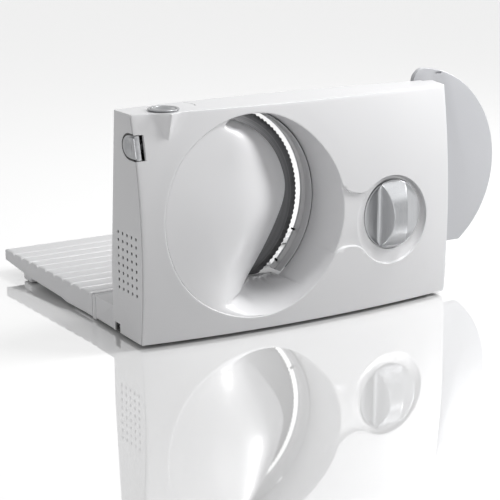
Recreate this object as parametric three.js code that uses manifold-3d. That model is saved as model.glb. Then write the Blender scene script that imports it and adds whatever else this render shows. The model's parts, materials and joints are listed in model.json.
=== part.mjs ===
// Electric food slicer with a folding table.
// Millimetres, +Z up. X runs along the blade's plane, +Y from the slice outlet to the food side.
import * as THREE from 'three';
import { mergeVertices } from 'three/addons/utils/BufferGeometryUtils.js';
import Module from 'manifold-3d';

// Fits
const seam = 0.3; // between mouldings, and between a piece and its seat
const running = 0.15; // radial play of a shaft in its bush
const overcut = 40; // how far a cut runs past the wall that it opens
const [gridColumns, gridRows] = [14, 8]; // facets of the curved front and rear
const roundFacets = 48; // facets of the big round recess

// Housing mouldings
const housingLength = 320;
const housingTop = 197.5;
const skirtBottom = 3;
const frontBow = 12; // bulge of the front, seen from above
const profileRadius = 445; // upright curve of the front
const profileApex = 70.5; // height where the front stands furthest out
const panelWall = 3;
const housingWall = 2.5;
const rearFlat = 56;
const rearTopEnd = 45; // rear top edge at the ends
const rearTopBow = 10; // and how much further back it is in the middle
const rearLean = 0.082; // the upper corners of the rear lean forward

// Blade and its axle
const bladeX = -54;
const bladeZ = 103;
const bladeRadius = 85;
const bladeThick = 1.2;
const bladeStandoff = 4.8; // from the rear wall
const bladeBore = 8;
const axleRadius = 5;
const axleFlange = 14;
const axleFlangeThick = 3.2;
const axleStud = 4;
const axleStudLength = 5.8;
const axleFront = 18;
const bushWall = 2;
const bossWall = 3;
const axleBushLength = 20;
const lockRadius = 16;
const lockThick = 7.6;
const lockGrip = 5;

// Worm and wheel
const gearModule = 1.25;
const wheelTeeth = 48;
const wheelWidth = 10;
const wheelFront = 24.5;
const wheelHub = 9;
const wormPitchRadius = 5;
const wormTurns = 3.5;
const addendum = 1;
const dedendum = 1.4;
const toothShare = 0.44; // tooth width at the pitch line, of the pitch
const flankSlope = 0.364; // tangent of the pressure angle

// Slice recess
const boreShift = 4; // the recess lies this far right of the blade's axle
const boreRadius = 88;
const boreWall = 2;
const dishShift = 11.4; // the deflector's upper edge is an arc this far left of the axle
const dishRadius = 78.3;
const dishBreak = 7; // above the axle: from here down the edge runs straighter
const dishFall = 0.131;
const dishFallPower = 1.35;
const dishDepth = 47; // Y of the deflector's right edge
const dishPower = 2.2;
const dishLeastRun = 8;
const dishBlend = 6;
const deflectorWall = 2.2;
const chuteSlope = 0.272; // rise of the chute's floor towards the blade
const outletBottom = 31.6;
const ringCover = 3; // the recess's wall reaches this far behind the deflector

// Thickness knob, cam and stop plate
const knobX = 91;
const knobZ = 88;
const knobRadius = 31.5;
const knobRim = 3;
const gripRise = 13.7; // the grip's front is an arc from rim to rim, this high
const gripFoot = 13; // half width of the grip at its foot
const gripSlope = 0.44; // its sides lean in
const cupRadius = 42;
const cupDrop = 5; // the dished recess is lower than the knob
const cupDepth = 7;
const cupRoom = 1.6;
const neckRadius = 20; // arcs of the hourglass between the two recesses
const neckDepth = 2.5;
const camShaft = 4;
const camInner = 11;
const camOuter = 18;
const camDisc = 12;
const camDiscThick = 3;
const camHigh = 33;
const camTurn = 300;
const followerRadius = 2.5;
const followerTip = 0.6;
const plateTravel = 15;
const plateThick = 3;
const plateBottom = 32;
const plateLobeX = 167;
const plateLobeZ = 110;
const plateLobeRadius = 97;
const plateCorner = 13;
const plateRibWidth = 17;
const plateRibThick = 2;
const plateRoom = 1; // left in front of the plate when it is drawn fully in
const collarWall = 1.7;
const collarLead = 1; // the collar's front edge flares out by this much
const collarLow = -45;
const collarHigh = 60;
const pocketMargin = 3;
const rodRadius = 3;
const rodHead = 5.5;
const rodHeadThick = 1.5;
const rodFront = 12;
const rodBushLength = 19;
const rodPlaces = { upper: [55, 155], lower: [130, 52] };
const springWire = 0.7;

// Top button, safety key and switch
const buttonX = -126.5;
const buttonSetback = 11.2; // from the front panel's top edge to the button's middle
const buttonRadius = 10.5;
const buttonTravel = 3;
const buttonCap = 8;
const buttonStem = 4;
const bezelRadius = 13.5;
const bezelThick = 2;
const prowDrop = 23.5; // ridge in the front panel under the button: how far down it runs out
const prowWidth = 21; // half its width at the top
const prowRise = 6.7;
const prowTopX = -129;
const prowTipX = -131;
const keyDrop = 26.8; // from the top to the key's middle
const keyHeight = 20.5;
const keyDepth = 20.8; // back from the front panel
const keyFaceWidth = 4.5;
const keyProud = 1.2;
const keyTravel = 3.5;
const keyStem = 3.5;
const keyStemLength = 15;
const keyClip = 5;
const keyRib = 2;
const keySpringLength = 9;
const shelfThick = 2.4;
const shelfHalf = 14;
const buttonSpringLength = 11;
const switchHeight = 16;
const switchWidth = 20;
const switchDepth = 12;

// Motor
const statorLength = 34;
const statorRadius = 21;
const statorBore = 12.5;
const statorLeft = -132.5;
const airGap = 0.4;
const shaftRadius = 3;
const bracketThick = 3;
const bracketHalf = 13;
const bracketHead = 16;
const bracketStandoff = 11;
const postRadius = 2.2;
const postOffset = 18.2;
const fanRadius = 15.2;
const fanThick = 6;
const fanBlades = 9;
const commutatorRadius = 8;
const commutatorLength = 7;
const bearingBlock = 5;
const bearingWall = 1.3;

// Base, feet and cord inlet
const plateDeckThick = 3; // base plate inside the housing
const baseClearance = 2; // base plate above the skirt's bottom
const blockRear = 91;
const deckTop = 24.4;
const blockSolid = 13; // depth of the block that isn't hollow
const footRadius = 8;
const footStem = 3;
const footStemRise = 5;
const footX = 140;
const frontFootY = 12;
const rearFootY = 63;
const notchY = 47;
const notchWidth = 10;
const notchHeight = 8;
const glandRadius = 4;
const glandBore = 2.8;
const glandX = -150.5;
const glandWall = 2.5;
const screwRadius = 1.5;
const screwHead = 3;
const screwHeadThick = 2.2;
const screwLength = 15;
const panelScrewInset = 9; // from the housing's ends
const panelScrewDrop = 9.5; // from its top
const panelScrewLeftZ = 33;
const panelScrewRightZ = 38;

// Vents in the left end
const ventColumns = 5;
const ventRows = 8;
const ventRadius = 1.3;
const ventPitchY = 8.3;
const ventPitchZ = 7;
const ventY = 8.6;
const ventZ = 44.5;

// Folding table and carriage
const knuckleRadius = 3.3;
const knuckleDrop = 0.2;
const pinRadius = 2;
const pinLength = 38;
const earX = 123;
const earWidth = 10;
const tableHalf = 158;
const tableClear = 1.2;
const tableThick = 2;
const tableNear = 150;
const tableNarrow = 100;
const tableCorner = 12;
const legNear = 232;
const legFar = 250;
const legHalf = 162;
const legTop = 7.6;
const railLeft = -43;
const railRight = 29;
const railStem = 4;
const railHead = 12;
const railHeadBottom = 14;
const railNearY = 118;
const railFarY = 241;
const padRadius = 7;
const padHeight = 2.1;
const padX = 150;
const carriageLeft = -160;
const carriageRight = 33;
const carriageFar = 281;
const carriageFlare = 8; // each end stands out by this much at the far edge
const ribCount = 10;
const ribDepth = 2;
const carriageSkin = 2.2;
const skirtWall = 2.4;
const skirtDeepTo = 148;
const skirtStepTo = 160;
const skirtStepRise = 2;
const skirtMidY = 226;
const skirtMidRise = 5;
const farSkirtBottom = 14.5;
const lipHeight = 3;
const lipWall = 2.6;
const lipPlay = 0.4;

// Places that follow from the sizes above
const half = housingLength / 2;
const boreX = bladeX + boreShift;
const boreZ = bladeZ;
const bladeFront = rearFlat + bladeStandoff;
const bladeRear = bladeFront + bladeThick;
const plateFront = bladeRear - plateThick;
const pocketY = plateFront - plateTravel - plateRoom;
const pocketBottom = plateBottom - pocketMargin - 2 * plateRoom;
const collarInner = boreRadius - seam - collarWall;
const collarFront = pocketY - plateRoom;
const plateTop = boreZ + collarInner * Math.sin(THREE.MathUtils.degToRad(collarHigh));
const pocketTop = plateTop + pocketMargin;
const pocketLeft = boreX + collarInner * Math.cos(THREE.MathUtils.degToRad(collarHigh)) - plateRoom;
const wheelPitchRadius = (gearModule * wheelTeeth) / 2;
const motorZ = bladeZ - wheelPitchRadius - wormPitchRadius;
const motorY = wheelFront + wheelWidth / 2;
const statorRight = statorLeft + statorLength;
const leftBracketX = statorLeft - bracketStandoff - bracketThick;
const rightBracketX = statorRight + bracketStandoff;
const gearPitch = Math.PI * gearModule;
const wormHalf = (wormTurns * gearPitch) / 2;
const bearingX = bladeX + wormHalf + 2 * bearingWall;
const basePlateBottom = skirtBottom + baseClearance;
const basePlateTop = basePlateBottom + plateDeckThick;
const blockFront = rearFlat + seam;
const hingeY = blockRear + seam + knuckleRadius;
const hingeZ = deckTop - knuckleDrop - knuckleRadius;
const tableTop = tableClear + tableThick;
const carriageNear = hingeY + knuckleRadius + lipPlay;
const deckUnder = deckTop - ribDepth - carriageSkin;
const keyInner = -half + keyFaceWidth;
const keyRibX = keyInner + keySpringLength + 2 * seam;
const keyZ = housingTop - keyDrop;
const keyRearY = frontY(-half, keyZ) + keyDepth;
const buttonY = frontY(buttonX, housingTop) + buttonSetback;
const shelfTop = housingTop - buttonCap + bezelThick - buttonSpringLength - 2 * seam;
const switchTop = shelfTop - shelfThick - buttonTravel - 2 * seam;

const wasm = await Module();
wasm.setup();

// A closed geometry as a solid, with its faces turned outwards.
function solid(geometry) {
  const bare = new THREE.BufferGeometry();
  bare.setAttribute('position', geometry.getAttribute('position'));
  bare.setIndex(geometry.index);
  const merged = mergeVertices(bare, 1e-4);
  const places = merged.getAttribute('position').array;
  const corners = merged.index.array;
  const kept = [];
  let sixVolumes = 0;
  const [a, b, c] = [new THREE.Vector3(), new THREE.Vector3(), new THREE.Vector3()];
  for (let i = 0; i < corners.length; i += 3) {
    const [p, q, r] = [corners[i], corners[i + 1], corners[i + 2]];
    if (p === q || q === r || r === p) {
      continue;
    }
    kept.push(p, q, r);
    a.fromArray(places, 3 * p);
    b.fromArray(places, 3 * q);
    c.fromArray(places, 3 * r);
    sixVolumes += a.dot(b.cross(c));
  }
  if (sixVolumes < 0) {
    kept.reverse();
  }
  const mesh = new wasm.Mesh({
    numProp: 3,
    vertProperties: new Float32Array(places),
    triVerts: new Uint32Array(kept),
  });
  return new wasm.Manifold(mesh);
}

function geometryOf(body) {
  const mesh = body.getMesh();
  const geometry = new THREE.BufferGeometry();
  geometry.setAttribute('position', new THREE.BufferAttribute(mesh.vertProperties, 3));
  geometry.setIndex(new THREE.BufferAttribute(mesh.triVerts, 1));
  geometry.computeVertexNormals();
  return geometry;
}

function joined(first, ...others) {
  return others.reduce((body, other) => body.add(other), first);
}

function cut(first, ...others) {
  return others.reduce((body, other) => body.subtract(other), first);
}

function slab(x, y, z) {
  const shape = new THREE.BoxGeometry(x[1] - x[0], y[1] - y[0], z[1] - z[0]);
  shape.translate((x[0] + x[1]) / 2, (y[0] + y[1]) / 2, (z[0] + z[1]) / 2);
  return solid(shape);
}

// Lays a shape made about the Y axis along another axis, at a centre given in the other two axes.
function lay(shape, axis, centre) {
  if (axis === 'x') {
    shape.rotateZ(-Math.PI / 2);
    shape.translate(0, centre[0], centre[1]);
  } else if (axis === 'y') {
    shape.translate(centre[0], 0, centre[1]);
  } else {
    shape.rotateX(Math.PI / 2);
    shape.translate(centre[0], centre[1], 0);
  }
  return solid(shape);
}

function bar(axis, centre, radius, span, sides = 16) {
  const shape = new THREE.CylinderGeometry(radius, radius, span[1] - span[0], sides);
  shape.translate(0, (span[0] + span[1]) / 2, 0);
  return lay(shape, axis, centre);
}

// A turned piece: profile points are [radius, place along the axis].
function turned(axis, centre, profile, sides = 16) {
  const points = profile.map(([radius, along]) => new THREE.Vector2(radius, along));
  return lay(new THREE.LatheGeometry(points, sides), axis, centre);
}

function sleeve(axis, centre, inner, outer, span, sides = 16) {
  const [from, to] = span;
  const profile = [[inner, from], [outer, from], [outer, to], [inner, to], [inner, from]];
  return turned(axis, centre, profile, sides);
}

function outline(points) {
  return new THREE.Shape(points.map(([u, v]) => new THREE.Vector2(u, v)));
}

// An outline drawn in the plane square to an axis, and run along that axis:
// (y, z) along X, (x, z) along Y, (x, y) along Z.
function extruded(axis, shape, span, curveSegments = 12) {
  const depth = span[1] - span[0];
  const geometry = new THREE.ExtrudeGeometry(shape, { depth, bevelEnabled: false, curveSegments });
  const along = new THREE.Matrix4();
  const [ex, ey, ez] = [
    new THREE.Vector3(1, 0, 0),
    new THREE.Vector3(0, 1, 0),
    new THREE.Vector3(0, 0, 1),
  ];
  if (axis === 'x') {
    along.makeBasis(ey, ez, ex).setPosition(span[0], 0, 0);
  } else if (axis === 'y') {
    along.makeBasis(ex, ez, ey.clone().negate()).setPosition(0, span[1], 0);
  } else {
    along.setPosition(0, 0, span[0]);
  }
  geometry.applyMatrix4(along);
  return solid(geometry);
}

// Joins loops of points, one after another, into a closed body.
function sweep(sections, closed = false) {
  const count = sections[0].length;
  const places = sections.flat().flatMap((point) => [point.x, point.y, point.z]);
  const corners = [];
  const last = closed ? sections.length : sections.length - 1;
  for (let i = 0; i < last; i += 1) {
    const here = i * count;
    const next = ((i + 1) % sections.length) * count;
    for (let j = 0; j < count; j += 1) {
      const k = (j + 1) % count;
      corners.push(here + j, here + k, next + k, here + j, next + k, next + j);
    }
  }
  const cap = (loop, start, turn) => {
    const middle = new THREE.Vector3();
    loop.forEach((point) => middle.add(point));
    middle.divideScalar(count);
    const centre = places.length / 3;
    places.push(middle.x, middle.y, middle.z);
    for (let j = 0; j < count; j += 1) {
      const k = (j + 1) % count;
      corners.push(centre, start + (turn ? k : j), start + (turn ? j : k));
    }
  };
  if (!closed) {
    cap(sections[0], 0, true);
    cap(sections[sections.length - 1], (sections.length - 1) * count, false);
  }
  const geometry = new THREE.BufferGeometry();
  geometry.setAttribute('position', new THREE.Float32BufferAttribute(places, 3));
  geometry.setIndex(corners);
  return solid(geometry);
}

// A body between two surfaces y = near(x, z) and y = far(x, z).
function between(x, z, near, far, columns, rows) {
  const places = [];
  const corners = [];
  const stride = rows + 1;
  const layer = (columns + 1) * stride;
  [near, far].forEach((surface) => {
    for (let i = 0; i <= columns; i += 1) {
      for (let j = 0; j <= rows; j += 1) {
        const px = x[0] + ((x[1] - x[0]) * i) / columns;
        const pz = z[0] + ((z[1] - z[0]) * j) / rows;
        places.push(px, surface(px, pz), pz);
      }
    }
  });
  const quad = (a, b, c, d) => corners.push(a, b, c, a, c, d);
  for (let i = 0; i < columns; i += 1) {
    for (let j = 0; j < rows; j += 1) {
      const a = i * stride + j;
      quad(a, a + stride, a + stride + 1, a + 1);
      quad(layer + a, layer + a + 1, layer + a + stride + 1, layer + a + stride);
    }
  }
  for (let i = 0; i < columns; i += 1) {
    const low = i * stride;
    const high = low + rows;
    quad(low, layer + low, layer + low + stride, low + stride);
    quad(high, high + stride, layer + high + stride, layer + high);
  }
  for (let j = 0; j < rows; j += 1) {
    const right = columns * stride + j;
    quad(j, j + 1, layer + j + 1, layer + j);
    quad(right, layer + right, layer + right + 1, right + 1);
  }
  const geometry = new THREE.BufferGeometry();
  geometry.setAttribute('position', new THREE.Float32BufferAttribute(places, 3));
  geometry.setIndex(corners);
  return solid(geometry);
}

// A loop of points round a centre, square to the Y axis.
function circle(centre, radius, sides) {
  return Array.from({ length: sides }, (_, i) => {
    const turn = (2 * Math.PI * i) / sides;
    const [across, up] = [radius * Math.cos(turn), radius * Math.sin(turn)];
    return new THREE.Vector3(centre[0] + across, centre[1], centre[2] + up);
  });
}

// A coil spring: one unbroken wire with its ends cut square.
function spring(axis, centre, radius, span, turns) {
  const [stepsPerTurn, wireSides] = [7, 4];
  const [from, to] = [span[0] + springWire, span[1] - springWire];
  const steps = turns * stepsPerTurn;
  const sections = [];
  for (let i = 0; i <= steps; i += 1) {
    const turn = (2 * Math.PI * i) / stepsPerTurn;
    const along = from + ((to - from) * i) / steps;
    const section = [];
    for (let j = 0; j < wireSides; j += 1) {
      const bend = (2 * Math.PI * j) / wireSides;
      const out = radius + springWire * Math.cos(bend);
      const lift = along + springWire * Math.sin(bend);
      const [u, v] = [out * Math.cos(turn), out * Math.sin(turn)];
      if (axis === 'x') {
        section.push(new THREE.Vector3(lift, centre[0] + u, centre[1] + v));
      } else if (axis === 'y') {
        section.push(new THREE.Vector3(centre[0] + u, lift, centre[1] + v));
      } else {
        section.push(new THREE.Vector3(centre[0] + u, centre[1] + v, lift));
      }
    }
    sections.push(section);
  }
  return sweep(sections);
}

// Surfaces of the housing and the recess
function frontY(x, z) {
  const across = x / half;
  const lean = (z - profileApex) ** 2 - (skirtBottom - profileApex) ** 2;
  return lean / (2 * profileRadius) - frontBow * (1 - across * across);
}

function rearY(x, z) {
  const across = x / half;
  const leaning = rearTopEnd + rearTopBow * (1 - across * across) + rearLean * (housingTop - z);
  return Math.min(rearFlat, leaning);
}

function panelBackY(x, z) {
  return frontY(x, z) + panelWall;
}

function dishEdgeX(z) {
  const arcX = (height) => {
    const reach = Math.max(0, dishRadius ** 2 - height ** 2);
    return bladeX - dishShift + Math.sqrt(reach);
  };
  const height = z - bladeZ;
  return height >= dishBreak
    ? arcX(height)
    : arcX(dishBreak) - dishFall * (dishBreak - height) ** dishFallPower;
}

function dishY(x, z) {
  const surface = frontY(x, z);
  const rim = boreX - Math.sqrt(Math.max(0, boreRadius ** 2 - (z - boreZ) ** 2));
  const run = Math.max(dishEdgeX(z) - rim, dishLeastRun);
  const along = THREE.MathUtils.clamp((x - rim) / run, 0, 1);
  const ramp = (dishDepth - surface) * along ** dishPower;
  const chute = Math.max(0, (z - boreZ + boreRadius) / chuteSlope);
  const mix = THREE.MathUtils.clamp(0.5 + (chute - ramp) / (2 * dishBlend), 0, 1);
  const depth = THREE.MathUtils.lerp(chute, ramp, mix) - dishBlend * mix * (1 - mix);
  return surface + Math.max(0, depth);
}

// Everything right of the deflector's edge, from a floor height up.
function outletBody(floor, y) {
  const steps = 20;
  const top = bladeZ + dishRadius;
  const points = [];
  for (let i = 0; i <= steps; i += 1) {
    const z = floor + ((top - floor) * i) / steps;
    points.push([dishEdgeX(z), z]);
  }
  points.push([points[steps][0], top + overcut]);
  points.push([boreX + boreRadius + overcut, top + overcut]);
  points.push([boreX + boreRadius + overcut, floor]);
  return extruded('y', outline(points), y);
}

// The hourglass between the round recess and the knob's recess: two arcs that touch both circles.
function neckOutline(grow) {
  const cupZ = knobZ - cupDrop;
  const [dx, dz] = [knobX - boreX, cupZ - boreZ];
  const gap = Math.hypot(dx, dz);
  const lean = Math.atan2(dz, dx);
  const arc = neckRadius - grow;
  const big = boreRadius + neckRadius;
  const small = cupRadius + neckRadius;
  const open = Math.acos((big * big + gap * gap - small * small) / (2 * big * gap));
  const close = Math.acos((small * small + gap * gap - big * big) / (2 * small * gap));
  const upper = [boreX + big * Math.cos(lean + open), boreZ + big * Math.sin(lean + open)];
  const lower = [boreX + big * Math.cos(lean - open), boreZ + big * Math.sin(lean - open)];
  const shape = new THREE.Shape();
  shape.moveTo(boreX, boreZ);
  shape.absarc(...lower, arc, lean - open + Math.PI, lean + close, true);
  shape.lineTo(knobX, cupZ);
  shape.absarc(...upper, arc, lean - close, lean + open - Math.PI, true);
  shape.closePath();
  return shape;
}

const knobSurface = frontY(knobX, knobZ);
const cupFloor = knobSurface + cupDepth;

// The knob's dished recess, an oblique cone that opens towards the front.
function cupBody(grow, floor) {
  const floorRadius = knobRadius + cupRoom;
  const widen = (cupRadius - floorRadius) / cupDepth;
  const sink = cupDrop / cupDepth;
  const at = (y) => {
    const ahead = cupFloor - y;
    const radius = floorRadius + widen * ahead + grow;
    return circle([knobX, y, knobZ - sink * ahead], radius, 36);
  };
  return sweep([at(knobSurface - overcut), at(floor)]);
}

const panelScrews = {
  top_left: [-half + panelScrewInset, housingTop - panelScrewDrop],
  top_right: [half - panelScrewInset, housingTop - panelScrewDrop],
  bottom_left: [-half + panelScrewInset, panelScrewLeftZ],
  bottom_right: [half - panelScrewInset, panelScrewRightZ],
};

const screwSeat = screwHeadThick + 2 * seam;
const screwPad = screwSeat + housingWall;

function inPocket(x, z) {
  return x > pocketLeft && z > pocketBottom && z < pocketTop;
}

function screwRear(x, z) {
  return inPocket(x, z) ? pocketY : rearY(x, z);
}

function keyOutline(grow) {
  const round = keyHeight / 2 + grow;
  const shape = new THREE.Shape();
  const front = frontY(-half, keyZ) - overcut * Math.sign(grow);
  shape.moveTo(front, keyZ - round);
  shape.absarc(keyRearY - keyHeight / 2, keyZ, round, -Math.PI / 2, Math.PI / 2, false);
  shape.lineTo(front, keyZ + round);
  shape.closePath();
  return shape;
}

function frontPanel() {
  const height = [skirtBottom, housingTop];
  const sheet = between([-half, half], height, frontY, panelBackY, gridColumns, gridRows);
  const ringEnd = pocketY - housingWall - seam;
  const ringSections = Array.from({ length: roundFacets }, (_, i) => {
    const turn = (2 * Math.PI * i) / roundFacets;
    const at = (radius, y) => {
      const [x, z] = [boreX + radius * Math.cos(turn), boreZ + radius * Math.sin(turn)];
      return new THREE.Vector3(x, y(x, z), z);
    };
    const start = (x, z) => frontY(x, z) + panelWall / 2;
    const end = (x, z) => Math.min(ringEnd, dishY(x, z) + deflectorWall + ringCover);
    const [inner, outer] = [boreRadius - boreWall, boreRadius + boreWall];
    return [at(inner, start), at(outer, start), at(outer, end), at(inner, end)];
  });
  const behind = between(
    [-half, half],
    [skirtBottom, housingTop],
    (x, z) => frontY(x, z) + panelWall / 2,
    () => rearFlat,
    gridColumns,
    gridRows,
  );
  const neckBack = between(
    [boreX, knobX],
    [skirtBottom, housingTop],
    (x, z) => frontY(x, z) + panelWall / 2,
    (x, z) => frontY(x, z) + neckDepth + panelWall,
    gridColumns,
    gridRows,
  );
  const neckCut = between(
    [boreX, knobX],
    [skirtBottom, housingTop],
    () => knobSurface - overcut,
    (x, z) => frontY(x, z) + neckDepth,
    gridColumns,
    gridRows,
  );
  const wholeY = [knobSurface - overcut, rearFlat + overcut];
  const neckBacking = neckBack.intersect(extruded('y', neckOutline(panelWall), wholeY));
  const neck = neckCut.intersect(extruded('y', neckOutline(0), wholeY));
  const cup = cupBody(panelWall, cupFloor + panelWall).intersect(behind);
  const prow = sweep([0.06, 0.3, 0.55, 0.8, 1].map((share) => {
    const z = housingTop - prowDrop * (1 - share);
    const ridge = THREE.MathUtils.lerp(prowTipX, prowTopX, share);
    const at = (off, lift) => {
      const x = ridge + off * prowWidth * share;
      return new THREE.Vector3(x, frontY(x, z) - lift * prowRise * share, z);
    };
    const back = [1, 0.5, 0, -0.5, -1].map((off) => at(off, 0).setY(at(off, 0).y + panelWall / 2));
    return [at(-1, 0), at(-0.6, 0.16), at(-0.25, 0.56), at(0, 1), at(0.25, 0.56), at(0.6, 0.16), at(1, 0), ...back];
  }));
  const bosses = Object.values(panelScrews).map(([x, z]) =>
    sleeve(
      'y',
      [x, z],
      screwRadius + running,
      screwRadius + bushWall,
      [frontY(x, z) + panelWall / 2, screwRear(x, z) - screwPad - seam],
      12,
    ),
  );
  const buttonHole = bar(
    'z',
    [buttonX, buttonY],
    buttonRadius + seam,
    [housingTop - buttonCap - buttonTravel, housingTop + overcut],
    24,
  );
  const keyGap = slab(
    [-half - overcut, keyInner + keyTravel + seam],
    wholeY,
    [keyZ - keyHeight / 2 - seam, keyZ + keyHeight / 2 + seam],
  );
  return cut(
    joined(
      sheet,
      sweep(ringSections, true),
      neckBacking,
      cup,
      prow,
      ...bosses,
    ),
    bar('y', [boreX, boreZ], boreRadius, wholeY, roundFacets),
    neck,
    cupBody(0, cupFloor),
    bar('y', [knobX, knobZ], camShaft + running, wholeY),
    buttonHole,
    keyGap,
  );
}

function sliceDeflector() {
  const reach = boreRadius + 1;
  const dish = between(
    [boreX - reach, boreX + reach],
    [boreZ - reach, boreZ + reach],
    dishY,
    (x, z) => dishY(x, z) + deflectorWall,
    14,
    14,
  );
  const y = [knobSurface - overcut, rearFlat + overcut];
  const disc = bar('y', [boreX, boreZ], boreRadius - seam, y, roundFacets);
  return dish.intersect(disc).subtract(outletBody(outletBottom, y));
}

function mainHousing() {
  const clear = panelWall + seam;
  const outer = between(
    [-half, half],
    [skirtBottom, housingTop],
    (x, z) => frontY(x, z) + clear,
    rearY,
    gridColumns,
    gridRows,
  );
  const inside = half - housingWall;
  const cavity = between(
    [-inside, inside],
    [skirtBottom - overcut, housingTop - housingWall],
    () => knobSurface - overcut,
    (x, z) => rearY(x, z) - housingWall,
    gridColumns,
    gridRows,
  );
  const y = [pocketY - overcut / 2, rearFlat + overcut];
  const disc = bar('y', [boreX, boreZ], boreRadius + seam, y, roundFacets);
  const outlet = outletBody(outletBottom, y);
  const tongue = disc.subtract(outlet);
  const pocketWith = (wall) =>
    slab(
      [pocketLeft - wall, half + overcut],
      [pocketY - wall, rearFlat + overcut],
      [pocketBottom - wall, pocketTop + wall],
    ).subtract(tongue);
  const shell = outer.subtract(pocketWith(0)).subtract(cavity.subtract(pocketWith(housingWall)));

  const axleBoss = bar(
    'y',
    [bladeX, bladeZ],
    axleRadius + bushWall + bossWall,
    [rearFlat - axleBushLength + 1, rearFlat - housingWall / 2],
  );
  const rodBosses = Object.values(rodPlaces).map((place) =>
    bar('y', place, rodRadius + bushWall + bossWall, [pocketY - rodBushLength, pocketY - 1]),
  );
  const camBoss = bar(
    'y',
    [knobX, knobZ],
    camShaft + bossWall,
    [camHigh + housingWall, pocketY - 1],
  );
  const shelves = [shelfTop, switchTop - switchHeight - seam].map((top) =>
    slab(
      [buttonX - shelfHalf, buttonX + shelfHalf],
      [buttonY - switchDepth / 2 - bushWall, rearFlat],
      [top - shelfThick, top],
    ),
  );
  const keyWall = slab(
    [keyRibX, keyRibX + keyRib],
    [keyStemY - keyClip - 1, rearFlat],
    [keyZ - keyClip - bossWall, keyZ + keyClip + bossWall],
  );
  const pads = Object.values(panelScrews).map(([x, z]) => {
    const rear = screwRear(x, z);
    return bar('y', [x, z], screwHead + bushWall, [rear - screwPad, rear - housingWall / 2], 16);
  });
  const baseBosses = Object.values(baseScrews).map((place) =>
    bar('z', place, screwRadius + bushWall + 1, [basePlateTop + seam, pocketBottom - housingWall], 16),
  );
  const trimmed = outer.add(between(
    [-half, half],
    [skirtBottom, housingTop],
    (x, z) => frontY(x, z) + clear,
    (x, z) => frontY(x, z) + clear + 1,
    gridColumns,
    gridRows,
  ));
  const inner = joined(axleBoss, ...rodBosses, camBoss, ...shelves, keyWall, ...pads, ...baseBosses);

  const vents = [];
  for (let i = 0; i < ventColumns; i += 1) {
    for (let j = 0; j < ventRows; j += 1) {
      const place = [ventY + i * ventPitchY, ventZ + j * ventPitchZ];
      vents.push(bar('x', place, ventRadius, [-half - 1, -half + housingWall + 1], 6));
    }
  }
  const screwCuts = Object.values(panelScrews).flatMap(([x, z]) => {
    const rear = screwRear(x, z);
    return [
      bar('y', [x, z], screwHead + seam, [rear - screwSeat, rear + 2 * screwSeat], 16),
      bar('y', [x, z], screwRadius + seam, [rear - screwPad - 1, rear], 12),
    ];
  });
  const baseCuts = Object.values(baseScrews).map((place) =>
    bar('z', place, screwRadius + running, [skirtBottom, basePlateBottom + screwLength + 1], 12),
  );
  const notch = slab(
    [-half - 1, -half + housingWall + 1],
    [notchY - notchWidth / 2, notchY + notchWidth / 2],
    [skirtBottom - 1, skirtBottom + notchHeight],
  );
  const underRear = slab(
    [-inside, inside],
    [rearFlat - 2 * housingWall, rearFlat + 1],
    [skirtBottom - 1, basePlateTop + seam],
  );
  const buttonHole = bar(
    'z',
    [buttonX, buttonY],
    buttonRadius + seam,
    [housingTop - buttonCap - buttonTravel, housingTop + 1],
    24,
  );
  return cut(
    joined(shell, inner.intersect(trimmed)),
    disc.intersect(outlet),
    bar('y', [bladeX, bladeZ], axleRadius + bushWall + running, y),
    ...Object.values(rodPlaces).map((place) =>
      bar('y', place, rodRadius + bushWall + running, y),
    ),
    bar('y', [knobX, knobZ], camShaft + running, [camHigh, pocketY - 1]),
    bar('y', [knobX, knobZ + (camInner + camOuter) / 2], followerRadius + seam, y, 16),
    bar('z', [buttonX, buttonY], buttonStem + running, [switchTop, housingTop], 24),
    buttonHole,
    bar('x', [keyStemY, keyZ], keyStem + running, [-half, buttonX]),
    extruded('x', keyOutline(seam), [-half - 1, -half + housingWall + seam]),
    ...vents,
    ...screwCuts,
    ...baseCuts,
    notch,
    underRear,
  );
}

const keyStemY = keyRearY - keyHeight / 2;

const baseScrews = {
  front_left: [-half + housingWall + screwHead + 3 * seam, 22],
  front_right: [half - housingWall - screwHead - 3 * seam, 22],
  rear_left: [-100, rearFlat - housingWall - screwHead + 2 * seam],
  rear_right: [100, rearFlat - housingWall - screwHead + 2 * seam],
};

const feet = {
  front_left: [-footX, frontFootY, basePlateBottom],
  front_right: [footX, frontFootY, basePlateBottom],
  rear_left: [-footX, rearFootY, skirtBottom],
  rear_right: [footX, rearFootY, skirtBottom],
};

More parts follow.
